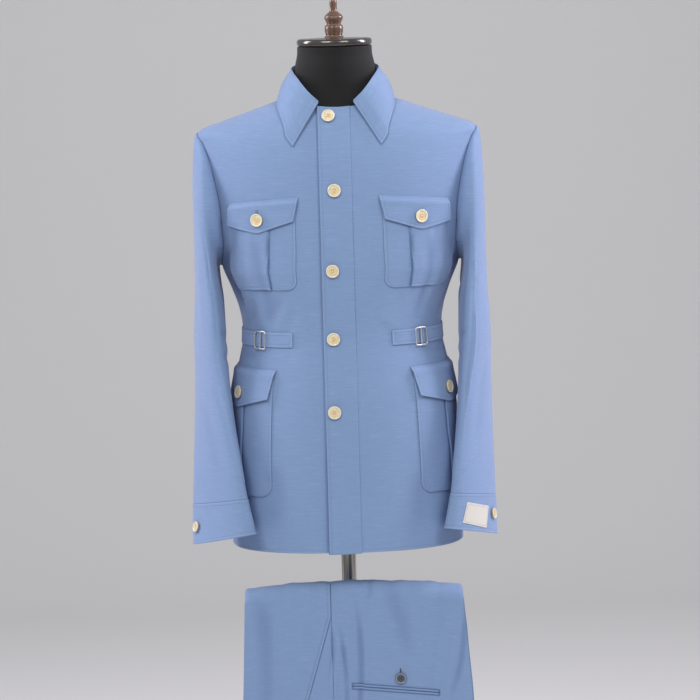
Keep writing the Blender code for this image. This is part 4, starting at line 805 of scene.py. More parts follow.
def rounded_profile(profile, radius, steps=4):
    """A turned profile with each outer corner replaced by a short curve, as a bead or a bevel has."""
    points = [np.array(profile[0], float)]
    for before, corner, after in zip(profile[:-2], profile[1:-1], profile[2:]):
        corner = np.array(corner, float)
        to_before, to_after = np.subtract(before, corner), np.subtract(after, corner)
        reach = min(radius, 0.45 * np.linalg.norm(to_before), 0.45 * np.linalg.norm(to_after))
        start = corner + unit(to_before) * reach
        end = corner + unit(to_after) * reach
        for part in np.linspace(0, 1, steps + 1):
            points.append(start * (1 - part) ** 2 + corner * 2 * part * (1 - part) + end * part ** 2)
    points.append(np.array(profile[-1], float))
    return np.array(points)


def tube(path, radius_a, radius_b, sides=10, closed=False, normals=None):
    """A rod: an oval of two radii carried along a path; its ends taper shut when it isn't closed."""
    path = np.asarray(path, float)
    if closed:
        tangent = unit(np.roll(path, -1, axis=0) - np.roll(path, 1, axis=0))
    else:
        tangent = unit(np.gradient(path, axis=0))
    normals = np.broadcast_to(UP if normals is None else normals, path.shape)
    side = unit(np.cross(tangent, normals))
    top = np.cross(side, tangent)
    turns = np.arange(sides) * 2 * math.pi / sides
    ring = (path[:, None] + side[:, None] * (np.cos(turns) * radius_a)[None, :, None]
            + top[:, None] * (np.sin(turns) * radius_b)[None, :, None])
    count = len(path)
    verts = ring.reshape(-1, 3)
    if closed:
        faces = (grid_quads(count + 1, sides, True) % (count * sides)).tolist()
    else:
        faces = grid_quads(count, sides, True).tolist()
        faces += [list(range(sides))[::-1], list(range((count - 1) * sides, count * sides))]
    flat = np.zeros((len(verts), 2))
    flat[:, 0] = np.tile(np.arange(sides) / sides, count)
    flat[:, 1] = np.repeat(np.arange(count) / count, sides)
    return {"verts": verts, "faces": outward(verts, faces), "flat": flat, "seam": np.ones(len(verts))}


def outward(verts, faces):
    """Turns all faces round when the closed shape that they make has a negative volume."""
    volume = 0.0
    for face in faces:
        corners = verts[face]
        volume += (np.cross(corners[1:-1], corners[2:]) @ corners[0]).sum()
    return faces if volume > 0 else [face[::-1] for face in faces]


# ---- Sewing thread ----------------------------------------------------------------------------------

def stitches(path, normals, length, gap):
    """A row of stitches along a path: each is a short four-sided bead whose ends dive into the cloth."""
    steps = np.linalg.norm(np.diff(path, axis=0), axis=1)
    run = np.concatenate([[0.0], np.cumsum(steps)])
    count = int(run[-1] // (length + gap))
    if count < 1:
        return None
    pitch = run[-1] / count
    shares = np.array([0.0, 0.22, 0.5, 0.78, 1.0])
    at = (np.arange(count)[:, None] + 0.08) * pitch + shares[None, :] * pitch * 0.78
    centre = np.stack([np.interp(at, run, path[:, axis]) for axis in range(3)], axis=-1)
    out = unit(np.stack([np.interp(at, run, normals[:, axis]) for axis in range(3)], axis=-1))
    tangent = unit(np.gradient(centre, axis=1))
    side = np.cross(tangent, out)
    full = np.array([0.35, 0.95, 1.0, 0.95, 0.35])[None, :, None]
    top = np.array([-0.3, 0.85, 1.0, 0.85, -0.3])[None, :, None] * THREAD["rise"]
    half = side * full * THREAD["width"] / 2
    around = [half, out * 0.0, -half, -out * THREAD["rise"] * 0.9]
    ring = [centre + shift + out * (top * (1.0 if index == 1 else 0.35 if index != 3 else 0.0))
            for index, shift in enumerate(around)]
    verts = np.stack(ring, axis=2).reshape(-1, 3)
    quads = grid_quads(5, 4, True)
    caps = np.array([[3, 2, 1, 0], [16, 17, 18, 19]])
    template = np.concatenate([quads, caps])
    volume_side = template if stitch_outward(verts[:20], template) else template[:, ::-1]
    faces = (volume_side[None] + (np.arange(count) * 20)[:, None, None]).reshape(-1, 4)
    flat = np.zeros((len(verts), 2))
    flat[:, 0] = np.tile(np.repeat(shares, 4), count) * length
    return {"verts": verts, "faces": faces, "flat": flat, "seam": np.ones(len(verts))}


def stitch_outward(verts, faces):
    """Whether a closed shape's faces point outwards: the signed sum of its corner volumes."""
    corners = verts[faces]
    first = np.einsum("ij,ij->i", corners[:, 0], np.cross(corners[:, 1], corners[:, 2]))
    second = np.einsum("ij,ij->i", corners[:, 0], np.cross(corners[:, 2], corners[:, 3]))
    return (first + second).sum() > 0


def sew(name, rows, finish="thread"):
    """Joins rows of stitches, each a (points, directions) pair, into one piece of thread."""
    settings = bpy.context.scene.suit_cloth
    made = [stitches(path, normals, settings.stitch_length, settings.stitch_gap) for path, normals in rows]
    made = [part for part in made if part]
    whole = {key: np.concatenate([part[key] for part in made]) for key in ("verts", "flat", "seam")}
    starts = np.cumsum([0] + [len(part["verts"]) for part in made])
    whole["faces"] = np.concatenate([part["faces"] + start for part, start in zip(made, starts)])
    make_piece(name, whole, finish)


def path_points(ends, step=0.003):
    """Straight runs between places, cut into short steps."""
    ends = [np.asarray(end, float) for end in ends]
    pieces = []
    for start, end in zip(ends[:-1], ends[1:]):
        span = np.linalg.norm((end - start) * np.array([BODY_GIRTH, 1.0]))
        count = max(int(span / step), 2)
        pieces.append(start + (end - start) * np.linspace(0, 1, count, endpoint=False)[:, None])
    pieces.append(ends[-1][None])
    return np.concatenate(pieces)


def inset(path, distance):
    """A path moved sideways by a distance in metres, square to itself; positive is to its left."""
    metric = np.array([BODY_GIRTH, 1.0])
    tangent = unit(np.gradient(path * metric, axis=0))
    return path + np.stack([-tangent[:, 1], tangent[:, 0]], axis=1) * distance / metric


# ---- Finishes ---------------------------------------------------------------------------------------

class Number:
    """A socket that takes part in arithmetic: each operator adds the Math node that it names."""

    def __init__(self, finish, socket):
        self.finish = finish
        self.socket = socket

    def _math(self, operation, *others):
        made = self.finish.node("ShaderNodeMath", {"operation": operation}, dict(enumerate((self,) + others)))
        return Number(self.finish, made.outputs[0])

    def __add__(self, other):
        return self._math("ADD", other)

    def __sub__(self, other):
        return self._math("SUBTRACT", other)

    def __rsub__(self, other):
        return (self * -1.0) + other

    def __mul__(self, other):
        return self._math("MULTIPLY", other)

    def __truediv__(self, other):
        return self._math("DIVIDE", other)

    __radd__ = __add__
    __rmul__ = __mul__

    def sine(self):
        """The sine of the value."""
        return self._math("SINE")

    def size(self):
        """The value without its sign."""
        return self._math("ABSOLUTE")

    def over(self, limit):
        """The larger of the value and a limit."""
        return self._math("MAXIMUM", limit)

    def under(self, limit):
        """The smaller of the value and a limit."""
        return self._math("MINIMUM", limit)

    def held_in(self):
        """The value kept between 0 and 1."""
        return self.over(0.0).under(1.0)

    def line_at(self, place, width):
        """1 on a place and 0 a width away from it on both sides."""
        return (1.0 - (self - place).size() / width).over(0.0)


class Finish:
    """A material whose nodes are added by name, with their settings and the values or links they take."""

    def __init__(self, name, **constants):
        self.material = bpy.data.materials.new(name)
        self.material.use_nodes = True
        self.tree = self.material.node_tree
        self.shader = self.tree.nodes["Principled BSDF"]
        for socket, value in constants.items():
            self.shader.inputs[socket.replace("_", " ")].default_value = value

    def node(self, kind, settings=None, inputs=None):
        """Adds a node of a type, sets its settings first, then its sockets' values or links."""
        made = self.tree.nodes.new(kind)
        for key, value in (settings or {}).items():
            setattr(made, key, value)
        for key, value in (inputs or {}).items():
            self.feed(made.inputs[key], value)
        return made

    def feed(self, socket, value):
        """Links a socket or sets its value."""
        if isinstance(value, Number):
            self.tree.links.new(value.socket, socket)
        elif isinstance(value, bpy.types.NodeSocket):
            self.tree.links.new(value, socket)
        else:
            socket.default_value = value

    def flat(self):
        """The two numbers of the piece's own unrolled places."""
        places = self.node("ShaderNodeUVMap", {"uv_map": "flat"})
        parts = self.node("ShaderNodeSeparateXYZ", None, {0: places.outputs[0]})
        return Number(self, parts.outputs[0]), Number(self, parts.outputs[1])

    def place(self):
        """The object coordinates as a vector."""
        return self.node("ShaderNodeTexCoord").outputs["Object"]

    def kept_number(self, name):
        """A number kept on the vertices: the distance to a stitched edge, or the painted shade to darken by.
        """
        return Number(self, self.node("ShaderNodeAttribute", {"attribute_name": name}).outputs["Fac"])

    def vector(self, x, y):
        """Two numbers as a vector."""
        return self.node("ShaderNodeCombineXYZ", None, {0: x, 1: y}).outputs[0]

    def stretched(self, x, y, z):
        """The object coordinates, each times its own amount."""
        return self.node("ShaderNodeMapping", None, {"Vector": self.place(), "Scale": (x, y, z)}).outputs[0]

    def noise(self, vector, scale=1.0, detail=2.0, roughness=0.5):
        """Soft noise about one half."""
        made = self.node("ShaderNodeTexNoise", None, {"Vector": vector, "Scale": scale, "Detail": detail,
                                                      "Roughness": roughness})
        return Number(self, made.outputs["Fac"])

    def thread_field(self, x, y, level, gain):
        """Streaks of thread: the part of a stretched noise above a level, times a gain, up to 1."""
        field = self.noise(self.vector(x, y), 1.0, 1.0, 0.5)
        return ((field - level) * gain).held_in()

    def mix(self, factor, first, second):
        """A colour between two colours."""
        made = self.node("ShaderNodeMix", {"data_type": "RGBA"})
        self.feed(made.inputs[0], factor)
        for socket, colour in ((made.inputs[6], first), (made.inputs[7], second)):
            self.feed(socket, (*colour, 1.0) if isinstance(colour, tuple) else colour)
        return made.outputs[2]

    def bump(self, height, distance, strength=1.0):
        """Feeds the shader's normal from a height."""
        inputs = {"Height": height, "Distance": distance, "Strength": strength}
        made = self.node("ShaderNodeBump", None, inputs)
        self.feed(self.shader.inputs["Normal"], made.outputs[0])

    def colour(self, value):
        """Feeds the base colour."""
        self.feed(self.shader.inputs["Base Color"], value)

    def roughness(self, value):
        """Feeds the roughness."""
        self.feed(self.shader.inputs["Roughness"], value)


def shade(colour, amount):
    """A colour times an amount."""
    return tuple(min(channel * amount, 1.0) for channel in colour[:3])


def kept(name, make):
    """A finish that is made on its first use."""
    def get():
        return bpy.data.materials.get(name) or make(name)
    return get


def make_cloth(name):
    """Chambray: a plain weave of blue and pale threads, pale crosswise slubs, soft tone, painted shade at
    seams and folds.
    """
    settings = bpy.context.scene.suit_cloth
    base = tuple(settings.colour)
    finish = Finish(name, Roughness=0.78, Sheen_Weight=0.35, Sheen_Roughness=0.45,
                    Sheen_Tint=(0.80, 0.80, 1.0, 1.0), Specular_IOR_Level=0.25)
    across, up = finish.flat()
    turn = math.pi / settings.thread_pitch
    weave = (across * turn).sine() * (up * turn).sine()
    slub = finish.thread_field(across * 34.0, up * 780.0, 0.54, 5.0)
    nub = finish.thread_field(across * 95.0, up * 1150.0, 0.62, 7.0)
    dark = finish.thread_field(across * 48.0 + 31.0, up * 900.0, 0.56, 5.0)
    warp = finish.thread_field(across * 1100.0, up * 36.0, 0.57, 5.0)
    fibre = finish.noise(finish.vector(across * 900.0, up * 900.0), 1.0, 2.0, 0.6)
    cloud = finish.noise(finish.place(), 5.5, 3.0, 0.55)
    seam = finish.kept_number("seam")
    # Painted shade: groove darkens the stitched line as well as denting the bump, and edge is a thin painted
    # shadow along each cut edge; worn is edge wear.
    groove = seam.line_at(0.0052, 0.0013)
    worn = seam.line_at(0.0014, 0.0014)
    edge = seam.line_at(0.0, 0.0008)
    pucker = finish.noise(finish.vector(across * 160.0, up * 160.0), 1.0, 1.0, 0.5)
    pucker = pucker * seam.line_at(0.003, 0.007)
    # The colour of painted shade: the cloth's blue, much darker and bluer.
    painted_shade_colour = tuple(channel * part for channel, part in zip(base, (0.17, 0.24, 0.36)))
    tone = finish.mix(weave * 0.5 + 0.5, shade(base, 0.94), shade(base, 1.06))
    tone = finish.mix(cloud * 0.9 - 0.1, tone, shade(base, 1.03))
    tone = finish.mix(slub * 0.16, tone, tuple(settings.slub_colour))
    tone = finish.mix(nub * 0.18, tone, tuple(settings.slub_colour))
    tone = finish.mix(dark * 0.20, tone, shade(base, 0.72))
    tone = finish.mix(warp * 0.14, tone, shade(base, 0.78))
    # Painted shade mixed in: the stitched groove, the cut edge, and the kept painted-shade number from folds,
    # seams and turned-away sides.
    tone = finish.mix(groove * 0.24, tone, shade(base, 0.55))
    tone = finish.mix(worn * 0.14, tone, tuple(settings.slub_colour))
    tone = finish.mix(edge * 0.45, tone, shade(base, 0.40))
    tone = finish.mix(finish.kept_number("crease"), tone, painted_shade_colour)
    finish.colour(tone)
    finish.roughness(fibre * 0.08 - slub * 0.08 + 0.76)
    height = weave * 0.35 + slub * 0.30 + nub * 0.25 + fibre * 0.35 - groove * 1.5 + pucker * 1.8
    finish.bump(height, 0.00022, 0.75)
    return finish.material


def make_thread(name, base=None):
    """Sewing thread: the cloth's colour, or another, with a twist across each stitch."""
    base = base or tuple(bpy.context.scene.suit_cloth.colour)
    finish = Finish(name, Roughness=0.55, Sheen_Weight=0.2)
    run, _ = finish.flat()
    twist = (run * 9000.0).sine() * 0.5 + 0.5
    finish.colour(finish.mix(twist, shade(base, 0.92), shade(base, 1.22)))
    finish.roughness(twist * 0.15 + 0.5)
    return finish.material


def make_horn(name):
    """Pale horn or pearl: a cream rim, a golden middle, fine streaks from the centre, painted shade round its
    side.
    """
    trims = bpy.context.scene.suit_trims
    finish = Finish(name, Roughness=0.28, Coat_Weight=0.5, Coat_Roughness=0.12, Specular_IOR_Level=0.55)
    share, turn = finish.flat()
    rim = ((share - 0.72) * 9.0).held_in()
    streak = finish.noise(finish.vector(share * 1.5, turn * 26.0), 1.0, 3.0, 0.6)
    cloud = finish.noise(finish.place(), 420.0, 3.0, 0.6)
    pearl = finish.noise(finish.place(), 190.0, 2.0, 0.6)
    middle = finish.mix(cloud, shade(trims.horn_middle, 0.80), shade(trims.horn_middle, 1.15))
    middle = finish.mix(((pearl - 0.45) * 5.0).held_in() * 0.7, middle, tuple(trims.horn_rim))
    edge = finish.mix(streak, shade(trims.horn_rim, 0.86), shade(trims.horn_rim, 1.06))
    # Painted shade: the outermost ring of the button is darkened as if in shadow.
    wall = ((share - 0.955) * 30.0).over(0.0).under(0.9)
    finish.colour(finish.mix(wall, finish.mix(rim, middle, edge), shade(trims.horn_middle, 0.28)))
    finish.roughness(cloud * 0.16 + 0.20)
    finish.bump(cloud * 0.4 + streak * 0.4, 0.00010, 0.6)
    return finish.material


def make_dark_button(name):
    """Dark blue-black resin with a painted highlight ring."""
    finish = Finish(name, Roughness=0.22, Coat_Weight=0.7, Coat_Roughness=0.08)
    share, _ = finish.flat()
    cloud = finish.noise(finish.place(), 500.0, 3.0, 0.6)
    # Painted highlight: a pale ring near the rim stands in for reflected light.
    ring = share.line_at(0.82, 0.12)
    tone = finish.mix(cloud, (0.018, 0.024, 0.045), (0.075, 0.090, 0.135))
    finish.colour(finish.mix(ring * 0.85, tone, (0.42, 0.46, 0.54)))
    finish.roughness(cloud * 0.15 + 0.16)
    return finish.material


def make_metal(name, colour, roughness, scratch, streaks=0.0):
    """Bright metal with fine scratches, a little unevenness in its polish and, on a pole, long dark streaks
    of painted reflection.
    """
    finish = Finish(name, Metallic=1.0, Roughness=roughness)
    fine = finish.noise(finish.place(), 900.0, 2.0, 0.6)
    wide = finish.noise(finish.place(), 45.0, 3.0, 0.5)
    tone = finish.mix(wide, shade(colour, 0.86), shade(colour, 1.06))
    # Painted reflection: the streaks darken the pole's colour as if it reflected dark surroundings.
    if streaks:
        field = finish.noise(finish.stretched(210.0, 210.0, 1.5), 1.0, 2.0, 0.6)
        tone = finish.mix(((field - 0.46) * 6.0).held_in() * streaks, tone, shade(colour, 0.25))
    finish.colour(tone)
    finish.roughness(fine * scratch + wide * 0.08 + (roughness - 0.04))
    finish.bump(fine, 0.00004, 0.4)
    return finish.material


def make_patch(name):
    """Woven ribbon: pale ribs across, with turned-in ends."""
    finish = Finish(name, Roughness=0.7, Sheen_Weight=0.2)
    across, up = finish.flat()
    rib = (up * 5200.0).sine() * 0.5 + 0.5
    strand = (across * 7000.0).sine() * 0.5 + 0.5
    cloud = finish.noise(finish.place(), 90.0, 3.0, 0.6)
    seam = finish.kept_number("seam")
    tone = finish.mix(rib * 0.5 + strand * 0.25, (0.50, 0.49, 0.46), (0.80, 0.79, 0.74))
    tone = finish.mix(cloud * 0.35, tone, (0.74, 0.70, 0.58))
    finish.colour(finish.mix(seam.line_at(0.0030, 0.0007) * 0.35, tone, (0.30, 0.30, 0.30)))
    finish.bump(rib * 0.7 + strand * 0.3, 0.00015, 0.6)
    return finish.material


def make_form_cloth(name):
    """Black jersey: fine knitted wales with a soft nap."""
    finish = Finish(name, Roughness=0.85, Sheen_Weight=0.12, Sheen_Roughness=0.5, Specular_IOR_Level=0.25)
    across, up = finish.flat()
    wale = (across * 5200.0).sine() * 0.5 + 0.5
    course = (up * 4200.0).sine() * 0.5 + 0.5
    cloud = finish.noise(finish.place(), 14.0, 4.0, 0.6)
    tone = finish.mix(wale * 0.5 + course * 0.3, (0.0065, 0.0065, 0.0075), (0.0150, 0.0148, 0.0165))
    finish.colour(finish.mix(cloud * 0.4, tone, (0.020, 0.019, 0.020)))
    finish.bump(wale * 0.6 + course * 0.4, 0.00018, 0.6)
    return finish.material


def make_cap(name):
    """A dark brown lacquered cap with a few soft wear marks."""
    finish = Finish(name, Roughness=0.2, Coat_Weight=0.8, Coat_Roughness=0.06)
    cloud = finish.noise(finish.place(), 30.0, 4.0, 0.6)
    fine = finish.noise(finish.place(), 320.0, 2.0, 0.6)
    finish.colour(finish.mix(cloud, (0.018, 0.013, 0.012), (0.060, 0.048, 0.042)))
    finish.roughness(fine * 0.14 + cloud * 0.10 + 0.14)
    finish.bump(fine, 0.00005, 0.5)
    return finish.material


def make_wood(name):
    """Turned hardwood, stained red brown: rings of grain along the axis, a worn coat of varnish."""
    stain = bpy.context.scene.suit_stand.wood_colour
    finish = Finish(name, Roughness=0.32, Coat_Weight=0.5, Coat_Roughness=0.15)
    grain = finish.noise(finish.stretched(260.0, 260.0, 34.0), 1.0, 4.0, 0.65)
    cloud = finish.noise(finish.place(), 70.0, 2.0, 0.5)
    rings = ((grain - 0.32) * 2.4).held_in()
    tone = finish.mix(rings, shade(stain, 0.45), shade(stain, 1.35))
    finish.colour(finish.mix(cloud * 0.4, tone, shade(stain, 0.8)))
    finish.roughness(grain * 0.2 + 0.22)
    finish.bump(grain, 0.00012, 0.5)
    return finish.material


def make_paint(name):
    """Powder-coated steel: near black with a fine orange-peel grain."""
    finish = Finish(name, Roughness=0.42, Specular_IOR_Level=0.4)
    peel = finish.noise(finish.place(), 700.0, 2.0, 0.5)
    cloud = finish.noise(finish.place(), 9.0, 4.0, 0.6)
    finish.colour(finish.mix(cloud, (0.022, 0.022, 0.023), (0.046, 0.046, 0.048)))
    finish.roughness(peel * 0.18 + cloud * 0.12 + 0.28)
    finish.bump(peel, 0.00008, 0.5)
    return finish.material


def make_floor(name):
    """The plain pale studio sheet."""
    stage = bpy.context.scene.suit_stage
    finish = Finish(name, Roughness=0.9, Specular_IOR_Level=0.1)
    cloud = finish.noise(finish.place(), 0.7, 2.0, 0.5)
    finish.colour(finish.mix(cloud, shade(stage.floor_colour, 0.99), shade(stage.floor_colour, 1.01)))
    return finish.material


FINISH = {
    "cloth": kept("suit_chambray", make_cloth),
    "thread": kept("sewing_thread", make_thread),
    "pale_thread": kept("button_thread_cream", lambda name: make_thread(name, (0.62, 0.52, 0.30))),
    "deep_thread": kept("topstitch_deep_blue", lambda name: make_thread(name, (0.100, 0.150, 0.290))),
    # Painted shade: this thread is far darker than the cloth so that the buttonholes read as shadowed slits.
    "dark_thread": kept("buttonhole_thread_navy", lambda name: make_thread(name, (0.045, 0.065, 0.120))),
    "horn": kept("button_pale_horn", make_horn),
    "dark_button": kept("button_dark_resin", make_dark_button),
    "buckle": kept("buckle_bright_metal", lambda name: make_metal(name, (0.80, 0.80, 0.77), 0.28, 0.16)),
    "chrome": kept("pole_chromed_steel", lambda name: make_metal(name, (0.74, 0.68, 0.60), 0.30, 0.12, 0.9)),
    "patch": kept("patch_woven_ribbon", make_patch),
    "form": kept("form_black_jersey", make_form_cloth),
    "cap": kept("cap_dark_lacquer", make_cap),
    "wood": kept("finial_stained_wood", make_wood),
    "paint": kept("base_powder_coat", make_paint),
    "floor": kept("studio_sheet", make_floor),
}


# ---- Jacket -----------------------------------------------------------------------------------------

def front_lift(side, ring, angle):
    """The right front dips under the left one; the left one's edge stands off a little at the hem."""
    z = along(RING["front_z"], ring)
    x = body(ring, angle)[..., 0]
    if side < 0:
        return -UNDERLAP * (1 - ease(x, LAP_LEFT, LAP_LEFT - 0.032))
    return 0.0016 * ease(z, 1.00, 0.80) * (1 - ease(x, LAP_LEFT, LAP_LEFT + 0.07))


def build_front(side, name):
    """A front panel: angles run from the lap's line to the side seam and armhole, rings from hem to neck."""
    rings = ring_lines()
    lap = angle_at(LAP_LEFT if side > 0 else LAP_RIGHT, rings)
    edge = np.radians(along(RING["front_edge"], rings)) * side
    shares = spaced(0.33, GRID_STEP)[None, :]
    angles = lap + (edge - lap) * shares
    rings = np.broadcast_to(rings, angles.shape)
    points, normals = JACKET.lay(rings, angles, front_lift(side, rings, angles))
    flat = np.stack([angles * BODY_GIRTH, along(RING["front_z"], rings)], axis=-1)
    # Painted shade: the panel's colour darkens in fold troughs, on its sides and under the arms.
    cloth_piece("front_panel_" + name, points, normals, flat, ["jacket_front_" + name],
                seams=("left", "start"), crease=low_light(rings, angles, points[..., 2]))


def build_back():
    """The back panel, from the wearer's left side seam round to the right one."""
    rings = ring_lines()
    edge = np.radians(along(RING["back_edge"], rings))
    shares = spaced(0.42, GRID_STEP)[None, :]
    angles = edge + (2 * math.pi - 2 * edge) * shares
    rings = np.broadcast_to(rings, angles.shape)
    points, normals = JACKET.lay(rings, angles)
    flat = np.stack([angles * BODY_GIRTH, along(RING["back_z"], rings)], axis=-1)
    # Painted shade: the back's colour darkens in fold troughs and on its sides.
    cloth_piece("back_panel", points, normals, flat, ["jacket_back"], seams=("start",),
                crease=low_light(rings, angles, points[..., 2]))


def build_placket():
    """The strip down the left front's closing edge, with a stitched line inside both edges."""
    rings = ring_lines()
    left, right = angle_at(LAP_LEFT, rings), angle_at(LAP_RIGHT, rings)
    shares = spaced(LAP_RIGHT - LAP_LEFT, 0.0032)[None, :]
    angles = left + (right - left) * shares
    rings = np.broadcast_to(rings, angles.shape)
    lift = front_lift(1, rings, angles) + CLOTH + SEAM
    points, normals = JACKET.lay(rings, angles, lift)
    flat = np.stack([angles * BODY_GIRTH, along(RING["front_z"], rings)], axis=-1)
    # Painted shadow: a dark line along the lap's edge, deeper towards the hem where the edge stands off.
    low = ease(points[..., 2], 0.98, 0.92)
    crease = (0.55 + 0.35 * low) * hump(shares * (LAP_RIGHT - LAP_LEFT), 0.0010)
    cloth_piece("front_placket", points, normals, flat, ["placket"],
                seams=("left",), crease=crease)


def placket_lift(z, x):
    """The outer face of the placket above the jacket's surface."""
    ring = ring_at(z)
    return front_lift(1, ring, angle_at(x, ring)) + CLOTH + SEAM


def build_body_stitches():
    """Placket lines, hem and shoulder seams."""
    rows = []
    z = np.linspace(RINGS[0][0] + 0.002, RINGS[-1][0] - 0.001, 260)
    for x in (LAP_LEFT + TOPSTITCH, LAP_RIGHT - TOPSTITCH):
        ring = ring_at(z)
        rows.append(JACKET.lay(ring, angle_at(x, ring), placket_lift(z, np.full(z.shape, x))))
    hem = ring_at(RINGS[0][0] + HEM_LINE)
    for first, last in ((-0.17, -105), (0.14, 105)):
        angles = np.linspace(first, math.radians(last), 160)
        side = 1 if last > 0 else -1
        rings = np.full(angles.shape, hem)
        rows.append(JACKET.lay(rings, angles, front_lift(side, rings, angles)))
    angles = np.linspace(math.radians(107), math.radians(253), 160)
    rows.append(JACKET.lay(np.full(angles.shape, hem), angles))
    for side in (1, -1):
        rings = np.linspace(17.1, 20.9, 120)
        rows.append(JACKET.lay(rings, np.full(rings.shape, side * math.radians(93.5))))
    sew("jacket_stitches", rows)


def build_sleeves_of(side, name):
    """Top and under sleeve: bands of columns of the sleeve's surface from the armhole to the cuff."""
    surface = SLEEVES[name]
    first, last = UNDER_SLEEVE_COLUMNS
    bands = (("under_sleeve_", first, last), ("top_sleeve_", last, first + ARM_COLUMN_COUNT))
    row_lines = CUFF_ROW * sleeve_rows()
    # Painted shade: a dark line along the armhole seam with a faint spread below it, and in the fold troughs.
    crease = 0.60 * hump(row_lines[:, None], 0.045) + 0.06 * hump(row_lines[:, None], 0.16)
    for part_name, start, end in bands:
        length = (end - start) * ARM_GIRTH
        around = start + (end - start) * spaced(length, GRID_STEP)[None, :]
        points, normals = surface.lay(row_lines[:, None], around)
        low = trough_shade(surface.height(*np.broadcast_arrays(row_lines[:, None], around)), 0.0040, 0.25)
        flat = np.stack(np.broadcast_arrays(around * ARM_GIRTH, points[..., 2]), axis=-1)
        cloth_piece(part_name.replace("_", "-") + name, flip(points, side), flip(normals, side), flat,
                    [part_name + name],
                    crease=np.maximum(crease, low))


def sleeve_rows():
    """Shares of the sleeve's rows about a step apart down its outside and inside."""
    rows = np.linspace(0, CUFF_ROW, 900)
    paths = [SLEEVES["left"].place(rows, np.full(rows.shape, float(column))) for column in (0, 4, 8)]
    return even_rows(rows, paths) / CUFF_ROW


def cuff_lift(row):
    """The cuff stands proud of the sleeve and swells a little at its turned edge."""
    return CUFF_PROUD + 0.0005 * ease(row, CUFF_ROW + 0.9, CUFF_ROW + 1.0)


def build_cuff(side, name):
    """The cuff: the sleeve's surface below its seam, joined round."""
    rows = (CUFF_ROW + spaced(0.06, 0.0035, [0.04, 0.06, 0.08, 0.1]))[:, None]
    around = np.arange(0, ARM_COLUMN_COUNT, 0.25)[None, :]
    points, normals = SLEEVES[name].lay(rows, around, cuff_lift(rows))
    flat = np.stack(np.broadcast_arrays(around * ARM_GIRTH, points[..., 2]), axis=-1)
    cloth_piece("sleeve_cuff_" + name, flip(points, side), flip(normals, side), flat, ["cuff_" + name],
                FUSED_CLOTH, True, ("start", "end"))


def build_sleeve_stitches():
    """Two lines just below each cuff seam and one near each cuff's turned edge."""
    rows = []
    for side, name in BOTH_SIDES:
        around = np.linspace(0, ARM_COLUMN_COUNT, 240)
        for row in (CUFF_ROW + 0.045, CUFF_ROW + 0.115, CUFF_ROW + 0.93):
            points, normals = SLEEVES[name].lay(np.full(around.shape, row), around, cuff_lift(row))
            rows.append((flip(points, side), flip(normals, side)))
    sew("sleeve_stitches", rows)


def build_patch():
    """The blank woven patch: a small rectangle laid on the left cuff, its ends turned in."""
    surface = SLEEVES["left"]
    middle = surface.place(np.array(PATCH["row"]), np.array(PATCH["column"]))
    beside = surface.place(np.array(PATCH["row"]), np.array(PATCH["column"] + 0.2))
    below = surface.place(np.array(PATCH["row"] + 0.1), np.array(PATCH["column"]))
    per_column = np.linalg.norm(beside - middle) / 0.2
    per_row = np.linalg.norm(below - middle) / 0.1
    across = (spaced(PATCH["width"], 0.0015) - 0.5)[None, :] * PATCH["width"]
    down = (spaced(PATCH["height"], 0.0015) - 0.5)[:, None] * PATCH["height"]
    lift = CUFF_PROUD + SEAM + PATCH["thick"]
    cosine, sine = math.cos(PATCH["tilt"]), math.sin(PATCH["tilt"])

    def laid(x, d):
        return surface.lay(PATCH["row"] + (d * cosine - x * sine) / per_row,
                           PATCH["column"] + (x * cosine + d * sine) / per_column, lift)

    points, normals = laid(across, down)
    flat = np.stack(np.broadcast_arrays(across, -down), axis=-1)
    cloth_piece("blank_patch", points, normals, flat, ["sleeve_patch"],
                PATCH["thick"], seams=("start", "end", "left", "right"), finish="patch")
    half_size = np.array([PATCH["width"], PATCH["height"]]) / 2 - PATCH_LINE
    corners = np.array([(-1, -1), (1, -1), (1, 1), (-1, 1), (-1, -1)]) * half_size
    shares = np.linspace(0, 4, 160)
    x, d = (np.interp(shares, range(5), corners[:, axis]) for axis in (0, 1))
    sew("patch_stitches", [laid(x, d)])


# ---- Pockets, flaps and tabs ------------------------------------------------------------------------

def pleat_lines(pocket, place):
    """The angles of the pleat's two edges at the pocket's bottom and top."""
    return [(place(limit, pocket["bottom"])[0], place(limit, pocket["top"])[0]) for limit in pocket["pleat"]]


def pleat_rise(pocket, place, angle, z):
    """The box pleat: up steeply over its two edges, with a shallow groove just outside each."""
    share = (z - pocket["bottom"]) / (pocket["top"] - pocket["bottom"])
    (in_low, in_top), (out_low, out_top) = pleat_lines(pocket, place)
    inner = (angle - (in_low + (in_top - in_low) * share)) * BODY_GIRTH
    outer = ((out_low + (out_top - out_low) * share) - angle) * BODY_GIRTH
    rise = np.minimum(ease(inner, -0.0002, 0.0010), ease(outer, -0.0060, 0.0060))
    return PLEAT_RISE * rise + 0.0007 * hump(inner - 0.0016, 0.0016) - 0.0015 * hump(inner + 0.0012, 0.0010)


def pleat_distance(pocket, place, angle, z):
    """How far inside the pleat's inner edge a place is."""
    share = (z - pocket["bottom"]) / (pocket["top"] - pocket["bottom"])
    low, top = pleat_lines(pocket, place)[0]
    return (angle - (low + (top - low) * share)) * BODY_GIRTH


